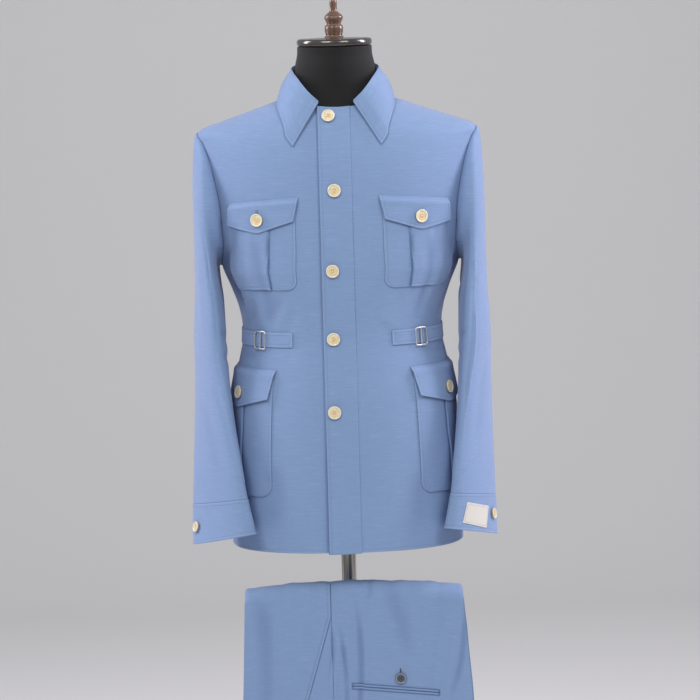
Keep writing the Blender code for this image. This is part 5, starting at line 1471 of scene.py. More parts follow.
def build_pocket(name, side, pocket, place, girth):
    """A patch pocket: rows from its top to its bottom, drawn in at the bottom by its round corners."""
    top_in, top_out = place(pocket["inner"], pocket["top"]), place(pocket["outer"], pocket["top"])
    low_in, low_out = place(pocket["inner"], pocket["bottom"]), place(pocket["outer"], pocket["bottom"])
    (in_low, _), (out_low, _) = pleat_lines(pocket, place)
    marks = np.array([in_low - low_in[0], out_low - low_in[0]]) / (low_out[0] - low_in[0])
    offsets = np.array([-0.0026, -0.0018, -0.0010, -0.0004, 0.0001, 0.0005, 0.0009, 0.0014, 0.0024]) / girth
    shares = spaced(girth, GRID_STEP, [marks[0] + offsets, marks[1] - offsets])[None, :]
    height = pocket["top"] - pocket["bottom"]
    corner_rows = 1 - pocket["corner"] * (1 - np.sin(np.linspace(0, 1, 9)[:-1] * math.pi / 2)) / height
    down = spaced(height, GRID_STEP, corner_rows)[:, None]
    z = pocket["top"] - height * down
    left = top_in[0] + (low_in[0] - top_in[0]) * down
    right = top_out[0] + (low_out[0] - top_out[0]) * down
    size = pocket["corner"]
    above = np.clip(z - pocket["bottom"], 0, size)
    drawn = (size - np.sqrt(np.maximum(size ** 2 - (size - above) ** 2, 0))) / BODY_GIRTH
    inner_part = np.clip(1 - shares / marks[0], 0, 1)
    outer_part = np.clip((shares - marks[1]) / (1 - marks[1]), 0, 1)
    angle = left + (right - left) * shares + drawn * inner_part - drawn * outer_part
    z = np.broadcast_to(z, angle.shape)
    lift = SEAM + CLOTH + pleat_rise(pocket, place, angle, z)
    belly = 0.0010 * np.sin(np.clip(shares, 0, 1) * math.pi) * np.sin(np.clip(down * 1.1, 0, 1) * math.pi)
    points, normals = on_jacket(angle * side, z, lift + belly)
    flat = np.stack([angle * side * BODY_GIRTH, z], axis=-1)
    beside = pleat_distance(pocket, place, angle, z)
    # Painted shade: a dark line in the pleat's inner fold, a soft shade beside it, and the jacket's painted
    # shade in troughs and on its sides.
    crease = 0.60 * hump(beside + 0.0006, 0.0008) + 0.12 * hump(beside + 0.0022, 0.0030)
    crease = crease + low_light(ring_at(z), angle * side, z)
    cloth_piece(name.replace("pocket", "patch_pocket"), points, normals, flat, [name],
                seams=("left", "right", "end"), crease=np.clip(crease, 0, 1))
    path = rounded_path(pocket, place, TOPSTITCH)
    lifted = SEAM + CLOTH + pleat_rise(pocket, place, path[:, 0], path[:, 1])
    return [on_jacket(path[:, 0] * side, path[:, 1], lifted)]


def rounded_path(pocket, place, inside):
    """The line a distance inside a pocket's sides and bottom, round at its corners."""
    top_in, top_out = place(pocket["inner"], pocket["top"]), place(pocket["outer"], pocket["top"])
    low_in, low_out = place(pocket["inner"], pocket["bottom"]), place(pocket["outer"], pocket["bottom"])
    corner = pocket["corner"] - inside
    turn = np.linspace(0, math.pi / 2, 16)
    step = inside / BODY_GIRTH
    size = corner / BODY_GIRTH
    down_z = np.linspace(pocket["top"], pocket["bottom"] + pocket["corner"], 60)
    share = (down_z - pocket["bottom"]) / (pocket["top"] - pocket["bottom"])
    inner = np.stack([low_in[0] + (top_in[0] - low_in[0]) * share + step, down_z], axis=1)
    outer = np.stack([low_out[0] + (top_out[0] - low_out[0]) * share - step, down_z], axis=1)[::-1]
    centre_in = np.array([inner[-1, 0] + size, pocket["bottom"] + pocket["corner"]])
    centre_out = np.array([outer[0, 0] - size, pocket["bottom"] + pocket["corner"]])
    curve_in = centre_in + np.stack([-np.cos(turn) * size, -np.sin(turn) * corner], axis=1)
    curve_out = centre_out + np.stack([np.sin(turn) * size, -np.cos(turn) * corner], axis=1)
    middle = np.linspace(curve_in[-1], curve_out[0], 50)[1:-1]
    return np.concatenate([inner, curve_in[1:], middle, curve_out, outer[1:]])


def build_flap(name, side, flap, place, girth, button_z):
    """A pointed flap: rows from its sewn top to its pointed lower edge, stepping up over the pocket."""
    first, last = place(*flap["top"][0]), place(*flap["top"][1])
    inner, tip, outer = place(*flap["inner"]), place(*flap["tip"]), place(*flap["outer"])
    tip_share = (tip[0] - inner[0]) / (outer[0] - inner[0])
    shares = spaced(girth, 0.0036, [tip_share])[None, :]
    height = flap["top"][0][1] - flap["tip"][1]
    down = spaced(height, 0.0032)[:, None]
    left = first[0] + (inner[0] - first[0]) * down
    right = last[0] + (outer[0] - last[0]) * down
    angle = left + (right - left) * shares
    top_z = first[1] + (last[1] - first[1]) * shares
    low_z = np.interp(shares, (0, tip_share, 1), (inner[1], tip[1], outer[1]))
    soft = hump((shares - tip_share) * girth, 0.0030) * 0.0008
    z = top_z + (low_z + soft - top_z) * down

    def lift_at(angle, z):
        top = first[1] + (last[1] - first[1]) * (angle - first[0]) / (last[0] - first[0])
        depth = (top - z) / height
        pulled = hump(np.hypot((angle - tip[0]) * BODY_GIRTH, z - button_z), 0.017)
        forward = 1 - (angle - first[0]) / (last[0] - first[0])
        curl = (0.0016 + 0.0018 * forward ** 2) * np.clip(depth, 0, 1.2) ** 2 * (1 - pulled)
        swell = 0.0007 * hump(depth - 0.16, 0.10)
        return SEAM + (FLAP_HIGH - SEAM) * ease(top - z, 0.0012, FLAP_STEP) + CLOTH + curl + swell

    points, normals = on_jacket(angle * side, z, lift_at(angle, z))
    flat = np.stack([angle * side * BODY_GIRTH, z], axis=-1)
    # Painted shade: the flap takes part of the jacket's painted shade.
    cloth_piece(name.replace("flap", "pocket_flap"), points, normals, flat, [name],
                seams=("left", "right", "end"), crease=0.6 * low_light(ring_at(z), angle * side, z))
    low_edge = inset(path_points([first, inner, tip, outer, last]), TOPSTITCH)[6:-6]
    top_edge = path_points([first + [0.02, -0.0022], last + [-0.02, -0.0022]])
    second = path_points([first + [0.02, -0.0085], last + [-0.02, -0.0085]])
    return [on_jacket(path[:, 0] * side, path[:, 1], lift_at(path[:, 0], path[:, 1]))
            for path in (low_edge, top_edge, second)]


def build_tab(name, side, start, end, tip, new_name, gathers, flat_width):
    """A waist tab part: a strip along the waist, cropped at its tip; gathers ripple beside the buckle."""
    low, high = TAB["bottom"], TAB["top"]
    shares = spaced(flat_width, 0.0016 if gathers else 0.0026)[None, :]
    up = spaced(high - low, 0.0026)[:, None]
    angle = start + (end - start) * shares
    crop = tip * np.clip(1 - shares * flat_width / max(tip, 1e-6), 0, 1)
    z = low + crop + (high - low - 2 * crop) * up
    ripple = 0.0
    if gathers:
        run = shares * flat_width
        ripple = gathers * np.exp(-run / 0.022) * np.sin(run * 2 * math.pi / 0.0052 + 0.9 * np.sin(up * 4))
        ripple = ripple * np.sin(np.clip(up, 0, 1) * math.pi) ** 0.5
    belly = 0.0005 * np.sin(up * math.pi)
    points, normals = on_jacket(angle * side, z, SEAM + CLOTH + ripple + belly)
    flat = np.stack(np.broadcast_arrays(angle * side * BODY_GIRTH, z), axis=-1)
    cloth_piece(new_name, points, normals, flat, [name],
                seams=("start", "end", "left"))
    rows = []
    for z_line in (low + 0.0040, high - 0.0040):
        line = np.linspace(start, end, 60)[2:-2]
        rows.append(on_jacket(line * side, np.full(line.shape, z_line), SEAM + CLOTH + 0.0002))
    return rows


def frame_on(ring, angle, lift):
    """Across, up and outward directions at a place on the jacket."""
    point, normal = JACKET.lay(np.array(ring), np.array(angle), lift)
    return place_frame(point, normal)


def place_frame(point, normal):
    """Across and up directions for a place with an outward direction."""
    across = unit(np.cross(UP, normal))
    return point, across, np.cross(normal, across), normal


def placed(frame_at, local):
    """Local across, up and out sizes turned into places."""
    origin, across, up, out = frame_at
    return origin + local[:, :1] * across + local[:, 1:2] * up + local[:, 2:3] * out


def build_buckle(name, side):
    """A slide buckle: a flat oval rod round a rounded rectangle, and a middle bar."""
    half_width, half_height = BUCKLE["width"] / 2 - 0.0013, BUCKLE["height"] / 2 - 0.0013
    turns = np.linspace(0, 2 * math.pi, 97)[:-1]
    cosine, sine = np.cos(turns), np.sin(turns)
    reach = (np.abs(cosine) ** 7 + np.abs(sine) ** 7) ** (-1 / 7)
    middle_depth = np.full(turns.shape, BUCKLE["thick"] / 2)
    loop = np.stack([half_width * cosine * reach, half_height * sine * reach, middle_depth], axis=1)
    ring = ring_at(BUCKLE["z"])
    angle = float(angle_at(BUCKLE_X[name.split("_")[-1]] * side, ring))
    frame_at = frame_on(ring, angle, SEAM + CLOTH + BUCKLE["gap"])
    out = frame_at[3]
    rim = tube(placed(frame_at, loop), BUCKLE["bar"] / 2, BUCKLE["thick"] / 2, 12, True, out)
    up = np.linspace(-half_height, half_height, 14)
    bar = np.stack([np.zeros(up.shape), up, np.full(up.shape, BUCKLE["thick"] / 2)], axis=1)
    middle = tube(placed(frame_at, bar), BUCKLE["bar"] * 0.55, BUCKLE["thick"] * 0.50, 12, False, out)
    slide = name.replace("buckle", "slide_buckle")
    make_piece(slide, joined([rim, middle]), "buckle", [name])


# ---- Collar -----------------------------------------------------------------------------------------

def collar_lines(shares):
    """The fold, the leaf's edge and its bulge at shares from the right front end round to the left one."""
    half = 1 - np.abs(shares)
    side = np.where(shares < 0, -1, 1)
    row = np.interp(half, COLLAR["share"], np.arange(len(COLLAR_ROWS)))
    fold = np.stack([along(COLLAR["fold_x"], row) * side, along(COLLAR["fold_y"], row),
                     along(COLLAR["fold_z"], row)], axis=-1)
    ring = along(COLLAR["edge_ring"], row)
    angle = np.radians(along(COLLAR["edge_angle"], row)) * side
    edge, _ = JACKET.lay(ring, angle, COLLAR_LIFT)
    return fold, edge, along(COLLAR["bulge"], row)


def leaf_points(shares, downs):
    """The leaf: a rolled curve over the fold, then a bowed fall to its edge. downs run from -1 to 1."""
    fold, edge, bulge = collar_lines(shares)
    out = unit(fold * np.array([1.0, 1.0, 0.0]))
    crown = fold + UP * (CLOTH + 0.0004) + out * 0.0006
    peak = fold + UP * (CLOTH + 0.0006) + out * COLLAR_ROLL
    shoulder = fold + out * COLLAR_ROLL - UP * 0.0012
    leaf_out = unit(unit(edge - fold) * -0.5 + out)
    part = np.clip(downs + 1, 0, 1)[..., None]
    roll = crown * (1 - part) ** 2 + peak * 2 * part * (1 - part) + shoulder * part ** 2
    fall = np.clip(downs, 0, 1)[..., None]
    lift = bulge[..., None] * np.sin(math.pi * fall)
    return np.where(downs[..., None] < 0, roll, shoulder + (edge - shoulder) * fall + leaf_out * lift)


def grid_normals(points):
    """Outward directions of a grid whose rows go down and columns go round clockwise."""
    return unit(np.cross(np.gradient(points, axis=1), np.gradient(points, axis=0)))


def build_collar():
    """The stand round the neckline and the leaf that folds down over it."""
    shares = (spaced(LEAF["length"], 0.0035) * 2 - 1)[None, :]
    fall = spaced(LEAF["fall"], 0.0030, [0.90, 0.93])
    downs = np.concatenate([np.linspace(-1, 0, 7)[:-1], fall[fall * LEAF["fall"] > 0.0005]])[:, None]
    shares, downs = np.broadcast_arrays(shares, downs)
    points = leaf_points(shares, downs)
    normals = grid_normals(points)
    ripple = 0.0004 * np.sin(shares * 17) * np.sin(np.clip(downs, 0, 1) * math.pi)
    points = points + normals * ripple[..., None]
    flat = np.stack([shares * 0.23, -downs * 0.05], axis=-1)
    # Painted shadow: a dark line along the leaf's two front ends.
    cloth_piece("shirt_collar_leaf", points, normals, flat, ["collar_leaf"],
                seams=("left", "right", "end"), crease=0.6 * hump((1 - np.abs(shares)) * 0.23, 0.0008))
    line = np.linspace(-0.985, 0.985, 420)
    rows = [collar_row(line, np.full(line.shape, 1 - TOPSTITCH / LEAF["fall"]))]
    fall = np.linspace(0.04, 0.90, 60)
    for end in (-1, 1):
        rows.append(collar_row(np.full(fall.shape, end * LEAF["end_line"]), fall))
    sew("collar_stitches", rows)
    build_stand(np.linspace(-1, 1, 121))


def collar_row(shares, downs):
    """A stitched line on the leaf: its points and outward directions."""
    grid_shares = shares[None, :] + np.zeros((3, 1))
    grid_downs = downs[None, :] + np.array([-0.02, 0.0, 0.02])[:, None]
    points = leaf_points(grid_shares, grid_downs)
    after, before = (leaf_points(grid_shares[1] + step, grid_downs[1]) for step in (0.004, -0.004))
    side = after - before
    return points[1], unit(np.cross(side, points[2] - points[0]))


def build_stand(shares):
    """The collar stand: a band from the fold down to the neckline, slightly hollow."""
    fold, _, _ = collar_lines(shares)
    out = unit(fold * np.array([1.0, 1.0, 0.0]))
    clear_x = np.sign(fold[:, 0]) * np.maximum(np.abs(fold[:, 0]), STAND_END_X)
    fold_angle = np.arctan2(clear_x / RING["half_width"][-1], -fold[:, 1] / RING["front_depth"][-1])
    back_angle = np.arctan2(fold[:, 0] / RING["half_width"][-1], -fold[:, 1] / RING["back_depth"][-1])
    neckline = body(NECK_RING, np.where(fold[:, 1] < 0, fold_angle, back_angle)) + UP * SEAM
    part = spaced(0.03, 0.0025)[:, None, None]
    points = fold + (neckline - fold) * part - out * 0.0024 * part * (1 - part)
    normals = np.broadcast_to(out, points.shape)
    flat = np.stack(np.broadcast_arrays(shares[None, :] * 0.21, -part[..., 0] * 0.03), axis=-1)
    cloth_piece("shirt_collar_stand", points, normals, flat, ["collar_stand"],
                thick=COLLAR_STAND_WALL)


# ---- Buttons ----------------------------------------------------------------------------------------

def button_part(frame_at, radius):
    """A button: a turned profile with a round rim and a dish, and four wells for the thread."""
    thick, floor = BUTTON["thick"], BUTTON["thick"] - BUTTON["dish"]
    rim = BUTTON["rim"]
    under = [(0.0, 0.0), (radius * 0.5, 0.0), (radius * 0.86, 0.0), (radius * 0.955, thick * 0.14),
             (radius * 0.995, thick * 0.38), (radius, thick * 0.55)]
    crown = []
    for turn in np.linspace(0.15, math.pi, 10):
        size = radius - rim / 2 + rim / 2 * math.cos(turn)
        height = thick * 0.62 + thick * 0.38 * math.sin(turn)
        crown.append((size, max(height, floor) if size < radius - rim * 0.75 else height))
    inside = [(size, floor) for size in np.arange(radius - rim - 0.0004, 0.0004, -0.00034)]
    part = lathe(under + crown + inside + [(0.0, floor)], 48)
    verts = part["verts"]
    hole = radius * HOLE_OUT
    well = np.zeros(len(verts))
    for x, y in ((1, 1), (1, -1), (-1, 1), (-1, -1)):
        away = np.hypot(verts[:, 0] - x * hole, verts[:, 1] - y * hole)
        well = np.maximum(well, 1 - ease(away, radius * 0.06, radius * 0.105))
    on_top = verts[:, 2] > floor * 0.98
    verts[:, 2] -= np.where(on_top, well * thick * 0.28, 0.0)
    part["verts"] = placed(frame_at, verts)
    return part


def thread_parts(frame_at, radius):
    """Two strands through the four holes, each a low arch."""
    floor = BUTTON["thick"] - BUTTON["dish"]
    hole = radius * HOLE_OUT
    share = np.linspace(-1, 1, 9)
    arch = floor - 0.0006 + 0.0011 * (1 - share ** 4)
    parts = []
    for side in (-1, 1):
        path = np.stack([share * hole, np.full(share.shape, side * hole), arch], axis=1)
        parts.append(tube(placed(frame_at, path), 0.00042, 0.00042, 6, False, frame_at[3]))
    return parts


def buttonhole(frame_at, height, width=0.0016):
    """A worked buttonhole: a cord of thread round a long narrow oval."""
    turns = np.linspace(0, 2 * math.pi, 49)[:-1]
    reach = (np.abs(np.cos(turns)) ** 3 + np.abs(np.sin(turns)) ** 3) ** (-1 / 3)
    loop = np.stack([width / 2 * np.cos(turns) * reach, height / 2 * np.sin(turns) * reach,
                     np.full(turns.shape, 0.0001)], axis=1)
    return tube(placed(frame_at, loop), 0.00055, 0.00040, 8, True, frame_at[3])


def cuff_frame(side_name, side, column, row, lift):
    """The frame of a place on a cuff."""
    point, normal = SLEEVES[side_name].lay(np.array(row), np.array(column), CUFF_PROUD + lift)
    return place_frame(flip(point, side), flip(normal, side))


def button_places():
    """Each button's node, its frame and its radius."""
    above_flap = FLAP_HIGH + CLOTH + BUTTON["gap"]
    places = []
    for index, (x, z) in enumerate(FRONT_BUTTONS, 1):
        ring = ring_at(z)
        frame_at = frame_on(ring, float(angle_at(x, ring)), float(placket_lift(z, x) + BUTTON["gap"]))
        places.append(("front_button_%d" % index, frame_at, BUTTON["radius"]))
    for side, name in BOTH_SIDES:
        ring = ring_at(FLAP_BUTTON_DROP["chest"])
        angle = float(angle_at(CHEST_FLAP["tip"][0] * side, ring))
        places.append(("chest_button_" + name, frame_on(ring, angle, above_flap), BUTTON["radius"]))
        angle = math.radians(HIP_FLAP["tip"][0]) * side
        frame_at = frame_on(ring_at(FLAP_BUTTON_DROP["hip"]), angle, above_flap)
        places.append(("hip_button_" + name, frame_at, BUTTON["radius"]))
        frame_at = cuff_frame(name, side, *CUFF_BUTTONS[name], BUTTON["gap"])
        places.append(("cuff_button_" + name, frame_at, SMALL_BUTTON_RADIUS))
    return places


def build_buttons():
    """Every pale button with its thread, and the worked buttonholes that show."""
    threads = []
    for node_name, frame_at, radius in button_places():
        make_piece(node_name.replace("button", "horn_button"), button_part(frame_at, radius), "horn",
                   [node_name])
        threads += thread_parts(frame_at, radius)
    make_piece("button_threads", joined(threads), "pale_thread")
    ring = ring_at(FLAP_BUTTON_DROP["chest"] + 0.0135)
    angle = float(angle_at(-CHEST_FLAP["tip"][0], ring))
    hole = buttonhole(frame_on(ring, angle, FLAP_HIGH + CLOTH), 0.016, 0.0030)
    make_piece("worked_buttonholes", hole, "dark_thread")


# ---- Trousers ---------------------------------------------------------------------------------------

def trouser_panel(name, node, left_of, right_of, start_of, end, seams, across_length):
    """A panel of the folded trousers: from its lower edge up the front drop, over the bar, down behind."""
    shares = spaced(across_length, 0.0026)[None, :]
    ways = spaced(0.52, 0.0050)[:, None]
    guess = -0.27 + (end + 0.27) * ways
    for _ in range(3):
        x = left_of(guess) + (right_of(guess) - left_of(guess)) * shares
        guess = start_of(x) + (end - start_of(x)) * ways
    points, normals = TROUSERS.lay(guess, x)
    # Painted shade: darker in the fold troughs and along the far edge that turns away.
    troughs = trough_shade(trouser_height(guess, x), 0.0045, 0.42)
    cloth_piece(name, points, normals, np.stack([x, guess], axis=-1), [node],
                seams=seams, crease=np.maximum(troughs, edge_shade(shares)))


def edge_shade(shares):
    """Painted shade on the far side of the trousers, which turns away into the layers behind it."""
    return 0.55 * ease(shares, 0.988, 1.0)


def slant_x(travel):
    """Where the slant pocket's edge crosses a level of the front drop."""
    top, low = SLANT
    z = TROUSER_TOP + travel - FOLD_RADIUS * (1 - math.pi / 2)
    return np.interp(z, (low[1], top[1]), (low[0], top[0]))


def build_trouser_panels():
    """Front, pocket facing and back on the shared fold."""
    half = SEAM / 2
    front_start = travel_to(SIDE_SEAM_X, WAIST_Z) + half
    trouser_panel("folded_trouser_front", "trouser_front", lambda way: side_x("left", way),
                  lambda way: slant_x(way) - half, lambda x: x * 0 + front_start, PANEL_END,
                  ("right",), 0.14)
    trouser_panel("folded_trouser_back", "trouser_back", lambda way: way * 0 + SIDE_SEAM_X + half,
                  lambda way: side_x("right", way), lambda x: travel_to(x, waist_z(x)) + half, PANEL_END,
                  (), 0.22)
    slant_top = travel_to(*SLANT[0])
    shares = spaced(0.05, 0.0030)[None, :]
    ways = spaced(0.18, 0.0036)[:, None]
    travel = front_start + (slant_top - 2 * half - front_start) * ways
    left = slant_x(travel) + half
    x = left + (SIDE_SEAM_X - half - left) * shares
    travel = np.broadcast_to(travel, x.shape)
    points, normals = TROUSERS.lay(travel, x, -0.0004)
    cloth_piece("slant_pocket_facing", points, normals, np.stack([x, travel], axis=-1),
                ["trouser_pocket_facing"])


def build_trouser_layers():
    """The hidden layers of both legs: one solid round the fold whose side edges are four rounded layers."""
    outer_depth = CLOTH + SEAM
    turn = np.linspace(0, LAYER_COUNT, LAYER_COUNT * 8 + 1)
    bulge = np.abs(np.sin(turn * math.pi)) ** 0.6
    depths = outer_depth + CORE_THICK * turn / LAYER_COUNT
    layer = np.floor(np.clip(turn, 0, LAYER_COUNT - 0.01))
    pull = 0.0022 + 0.0022 * (1 - bulge) + 0.0010 * layer % 0.0017
    across = np.linspace(0.03, 0.97, 40)
    quarter = FOLD_RADIUS * math.pi / 2
    travels = np.concatenate([np.linspace(FRONT_END, -quarter, 46)[:-1], np.linspace(-quarter, quarter, 22),
                              np.linspace(quarter, LAYERS_END, 46)[1:]])[:, None]
    left, right = side_x("left", travels), side_x("right", travels)
    face_x = left + (right - left) * across
    x = np.concatenate([left + pull[0] + 0 * travels, face_x, right - pull[None, :], face_x[:, ::-1],
                        left + pull[None, ::-1]], axis=1)
    depth = np.concatenate([np.full(1 + across.size, outer_depth), depths,
                            np.full(across.size, depths[-1]), depths[::-1]])
    reach = np.broadcast_to(travels, x.shape).copy()
    limit = travel_to(x, waist_z(x) - BAND_HEIGHT + 0.006)
    part = np.clip((travels + quarter) / (FRONT_END + quarter), 0, 1)
    reach = np.where(travels < -quarter, -quarter + (limit + quarter) * part, reach)
    under_fold = outer_depth + np.maximum(-trouser_height(reach, x), 0.0)
    points = drape(reach, x, np.maximum(depth, under_fold))
    rows, count = points.shape[:2]
    verts = points.reshape(-1, 3)
    first, last = list(range(count)), list(range((rows - 1) * count, rows * count))
    faces = grid_quads(rows, count, True).tolist() + [first, last[::-1]]
    part = {"verts": verts, "faces": outward(verts, faces), "seam": np.ones(len(verts)),
            "flat": np.stack([x, reach], axis=-1).reshape(-1, 2)}
    item = make_piece("trouser_layers", part, "cloth", ["trouser_core"])
    declare_sheet(drape(np.broadcast_to(travels, face_x.shape), face_x))


def build_waistband():
    """The waistband: a flattened ring round the bottom of the front drop."""
    face_depth = -0.0006
    back_depth = CLOTH + SEAM + CORE_THICK + 2 * SEAM + CLOTH
    across = np.linspace(-0.985, 0.985, 84)
    turn = np.linspace(-math.pi / 2, math.pi / 2, 9)[1:-1]
    end_depth = 0.5 + 0.5 * np.sin(turn)
    end_x = 0.985 + 0.015 * np.cos(turn)
    x_share = np.concatenate([across, end_x, across[::-1], -end_x[::-1]])
    depth_share = np.concatenate([across * 0, end_depth, across * 0 + 1, end_depth[::-1]])
    drops = (spaced(BAND_HEIGHT, 0.0030) * (BAND_HEIGHT - SEAM / 2) + SEAM / 2)[:, None]
    near_x = np.interp(x_share, (-1, 1), (-0.178, 0.196))[None, :]
    near_travel = travel_to(near_x, waist_z(near_x) - drops)
    left, right = side_x("left", near_travel) - 0.0026, side_x("right", near_travel) + 0.0026
    middle, half = (left + right) / 2, (right - left) / 2
    x = middle + half * x_share
    travel = travel_to(x, waist_z(x) - drops)
    points = drape(travel, x, face_depth + (back_depth - face_depth) * depth_share)
    side = unit(np.roll(points, -1, axis=1) - np.roll(points, 1, axis=1))
    normals = unit(np.cross(side, np.gradient(-points, axis=0)))
    flat = np.stack(np.broadcast_arrays(x, travel), axis=-1)
    cloth_piece("trouser_waistband", points, normals, flat, ["waistband"],
                wrap=True, seams=("start", "end"))


def build_welt():
    """The back pocket's double jet on the back panel: two narrow rolls, with painted shade in the gap."""
    left, right = np.array(WELT["left"]), np.array(WELT["right"])
    shares = spaced(0.1405, 0.0025)[None, :]
    down = spaced(WELT["height"], 0.0012, [0.47, 0.5, 0.53])[:, None]
    x = left[0] + (right[0] - left[0]) * shares
    z = left[1] + (right[1] - left[1]) * shares - WELT["height"] * down
    x = np.broadcast_to(x, z.shape)
    roll = 0.0005 * np.abs(np.sin(down * 2 * math.pi)) - 0.0006 * hump(down - 0.5, 0.05)
    travel = travel_to(x, z)
    points, normals = TROUSERS.lay(travel, x, WELT["lift"] + WELT["thick"] + roll)
    beside = np.minimum(np.abs(down - 0.5), np.minimum(down, 1 - down)) * WELT["height"]
    ends = np.minimum(shares, 1 - shares) * 0.1405
    # Painted shade: dark lines along the gap and outer edges of the jets, and at their ends.
    crease = np.maximum(0.90 * hump(beside, 0.0010), 0.75 * hump(ends - 0.0010, 0.0012))
    cloth_piece("pocket_jet", points, normals, np.stack([x, travel], axis=-1), ["trouser_welt"],
                WELT["thick"], crease=crease)
    x, z = TROUSER_BUTTON
    place, _ = TROUSERS.lay(np.array(travel_to(x, z)), np.array(x), BUTTON["gap"])
    towards = np.array([0.0, -1.0, 0.0])
    frame_at = place_frame(place, towards)
    make_piece("resin_pocket_button", button_part(frame_at, SMALL_BUTTON_RADIUS), "dark_button",
               ["trouser_button"])
    hole_z = z + SMALL_BUTTON_RADIUS + 0.0035
    hole, _ = TROUSERS.lay(np.array(travel_to(x, hole_z)), np.array(x), 0.0001)
    parts = thread_parts(frame_at, SMALL_BUTTON_RADIUS)
    parts.append(buttonhole(place_frame(hole, towards), 0.006, 0.0012))
    make_piece("pocket_button_threads", joined(parts), "dark_thread")


def build_trouser_stitches():
    """The slant pocket's two lines, the side seam and the jet's frame."""
    rows = []
    slant_top = travel_to(*SLANT[0])
    travel = np.linspace(-0.245, slant_top - 0.002, 120)
    sew("slant_stitches", [TROUSERS.lay(travel, slant_x(travel) - inside) for inside in (0.0015, 0.0062)],
        "deep_thread")
    travel = np.linspace(slant_top, 0.28, 220)
    rows.append(TROUSERS.lay(travel, np.full(travel.shape, SIDE_SEAM_X - 0.0016)))
    left, right = np.array(WELT["left"]), np.array(WELT["right"])
    for drop in (-0.0016, WELT["height"] + 0.0016):
        x = np.linspace(left[0] - 0.001, right[0] + 0.001, 120)
        z = np.interp(x, (left[0], right[0]), (left[1], right[1])) - drop
        rows.append(TROUSERS.lay(travel_to(x, z), x))
    for end in (left, right):
        z = np.linspace(end[1] + 0.0016, end[1] - WELT["height"] - 0.0016, 20)
        x = np.full(z.shape, end[0] + (0.0015 if end[0] > 0.05 else -0.0015))
        rows.append(TROUSERS.lay(travel_to(x, z), x))
    sew("trouser_stitches", rows)


# ---- Form and stand ---------------------------------------------------------------------------------

def build_form():
    """The torso: rounded box rings from its underside to the top of the neck, closed at both ends."""
    rows = np.linspace(0, len(FORM_RINGS) - 1, 150)[:, None]
    angles = np.linspace(0, 2 * math.pi, 97)[:-1][None, :]
    sine, cosine = np.sin(angles), np.cos(angles)
    roundness = along(FORM["roundness"], rows)
    reach = (np.abs(sine) ** roundness + np.abs(cosine) ** roundness) ** (-1 / roundness)
    depth = np.where(cosine > 0, along(FORM["front_depth"], rows), along(FORM["back_depth"], rows))
    x = along(FORM["half_width"], rows) * sine * reach
    z = np.broadcast_to(along(FORM["z"], rows), x.shape)
    rings = np.stack([x, -depth * cosine * reach, z], axis=-1)
    verts, faces = capped_rings(rings, FORM["z"][0], FORM["z"][-1])
    flat = np.stack(np.broadcast_arrays(angles * 0.12, z), axis=-1).reshape(-1, 2)
    part = {"verts": verts, "faces": faces, "flat": np.concatenate([flat, np.zeros((2, 2))]),
            "seam": np.ones(len(verts))}
    make_piece("dress_form", part, "form", ["form_torso"])


def build_turned(name, profile, sides, finish, node, centre=(0.0, 0.0)):
    """A turned piece that replaces its node."""
    make_piece(name, lathe(profile, sides, centre), finish, [node])


def build_stand_parts():
    """Cap, finial, pole, base, and the post and bar for the trousers."""
    build_turned("form_neck_cap", rounded_profile(NECK_CAP, 0.0016), 96, "cap", "neck_cap")
    build_turned("turned_finial", smooth_profile(FINIAL, 5), 64, "wood", "finial")
    build_turned("round_base", rounded_profile(BASE, 0.0020), 128, "paint", "base")
    low, high = BASE[-1][1] + SEAM, FORM_RINGS[0][0] - SEAM
    pole = ((0.0, low), (POLE_RADIUS, low), (POLE_RADIUS, high), (0.0, high))
    build_turned("chrome_pole", rounded_profile(pole, 0.0006), 64, "chrome", "pole")
    low, high = BASE[4][1] + SEAM, TROUSER_TOP - FOLD_RADIUS - BAR_RADIUS - SEAM
    post = ((0.0, low), (POST_RADIUS, low), (POST_RADIUS, high), (0.0, high))
    build_turned("bar_post", rounded_profile(post, 0.0006), 40, "paint", "trouser_post",
                 (0.0, TROUSER_AXIS_Y))
    x = np.linspace(-BAR_HALF, BAR_HALF, 60)
    past = np.clip((np.abs(x) - BAR_HALF + 0.004) / 0.004, 0, 1)
    ends = np.sqrt(np.clip(1 - past ** 2, 0.05, 1))
    path = np.stack([x, np.full(x.shape, TROUSER_AXIS_Y), fold_top(x) - FOLD_RADIUS], axis=1)
    bar = tube(path, BAR_RADIUS, BAR_RADIUS, 32)
    centre = np.repeat(path, 32, axis=0)
    bar["verts"] = centre + (bar["verts"] - centre) * np.repeat(ends, 32)[:, None]
    make_piece("trouser_rest_bar", bar, "paint", ["trouser_bar"])


# ---- Stage ------------------------------------------------------------------------------------------

STUDIO = {"half": 9.0, "back": 3.4, "bend": 1.6, "top": 1.75}
CAMERA = {"place": (0.0115, -6.0, 1.75), "aim": (0.0115, 0.0, 1.06), "roll": -1.6,
          "span": 1.134, "sensor": 36.0}


def stood(item, right, up, back, place):
    """Turns and places an object by its right, up and backward directions, and links it."""
    matrix = np.eye(4)
    matrix[:3] = np.stack([right, up, back, place], axis=1)
    item.matrix_world = matrix.T.tolist()
    bpy.context.scene.collection.objects.link(item)


def build_camera():
    """A camera at the photograph's angle: aimed, rolled, its lens set so the span fills the frame."""
    place, aim = np.array(CAMERA["place"]), np.array(CAMERA["aim"])
    reach = np.linalg.norm(aim - place)
    forward = unit(aim - place)
    right = unit(np.cross(forward, UP))
    up = np.cross(right, forward)
    roll = math.radians(CAMERA["roll"])
    cosine, sine = math.cos(roll), math.sin(roll)
    data = bpy.data.cameras.new("photo_camera")
    data.sensor_width = CAMERA["sensor"]
    data.lens = CAMERA["sensor"] * reach / CAMERA["span"]
    data.clip_end = 100.0
    camera = bpy.data.objects.new("photo_camera", data)
    stood(camera, right * cosine + up * sine, up * cosine - right * sine, -forward, place)
    bpy.context.scene.camera = camera


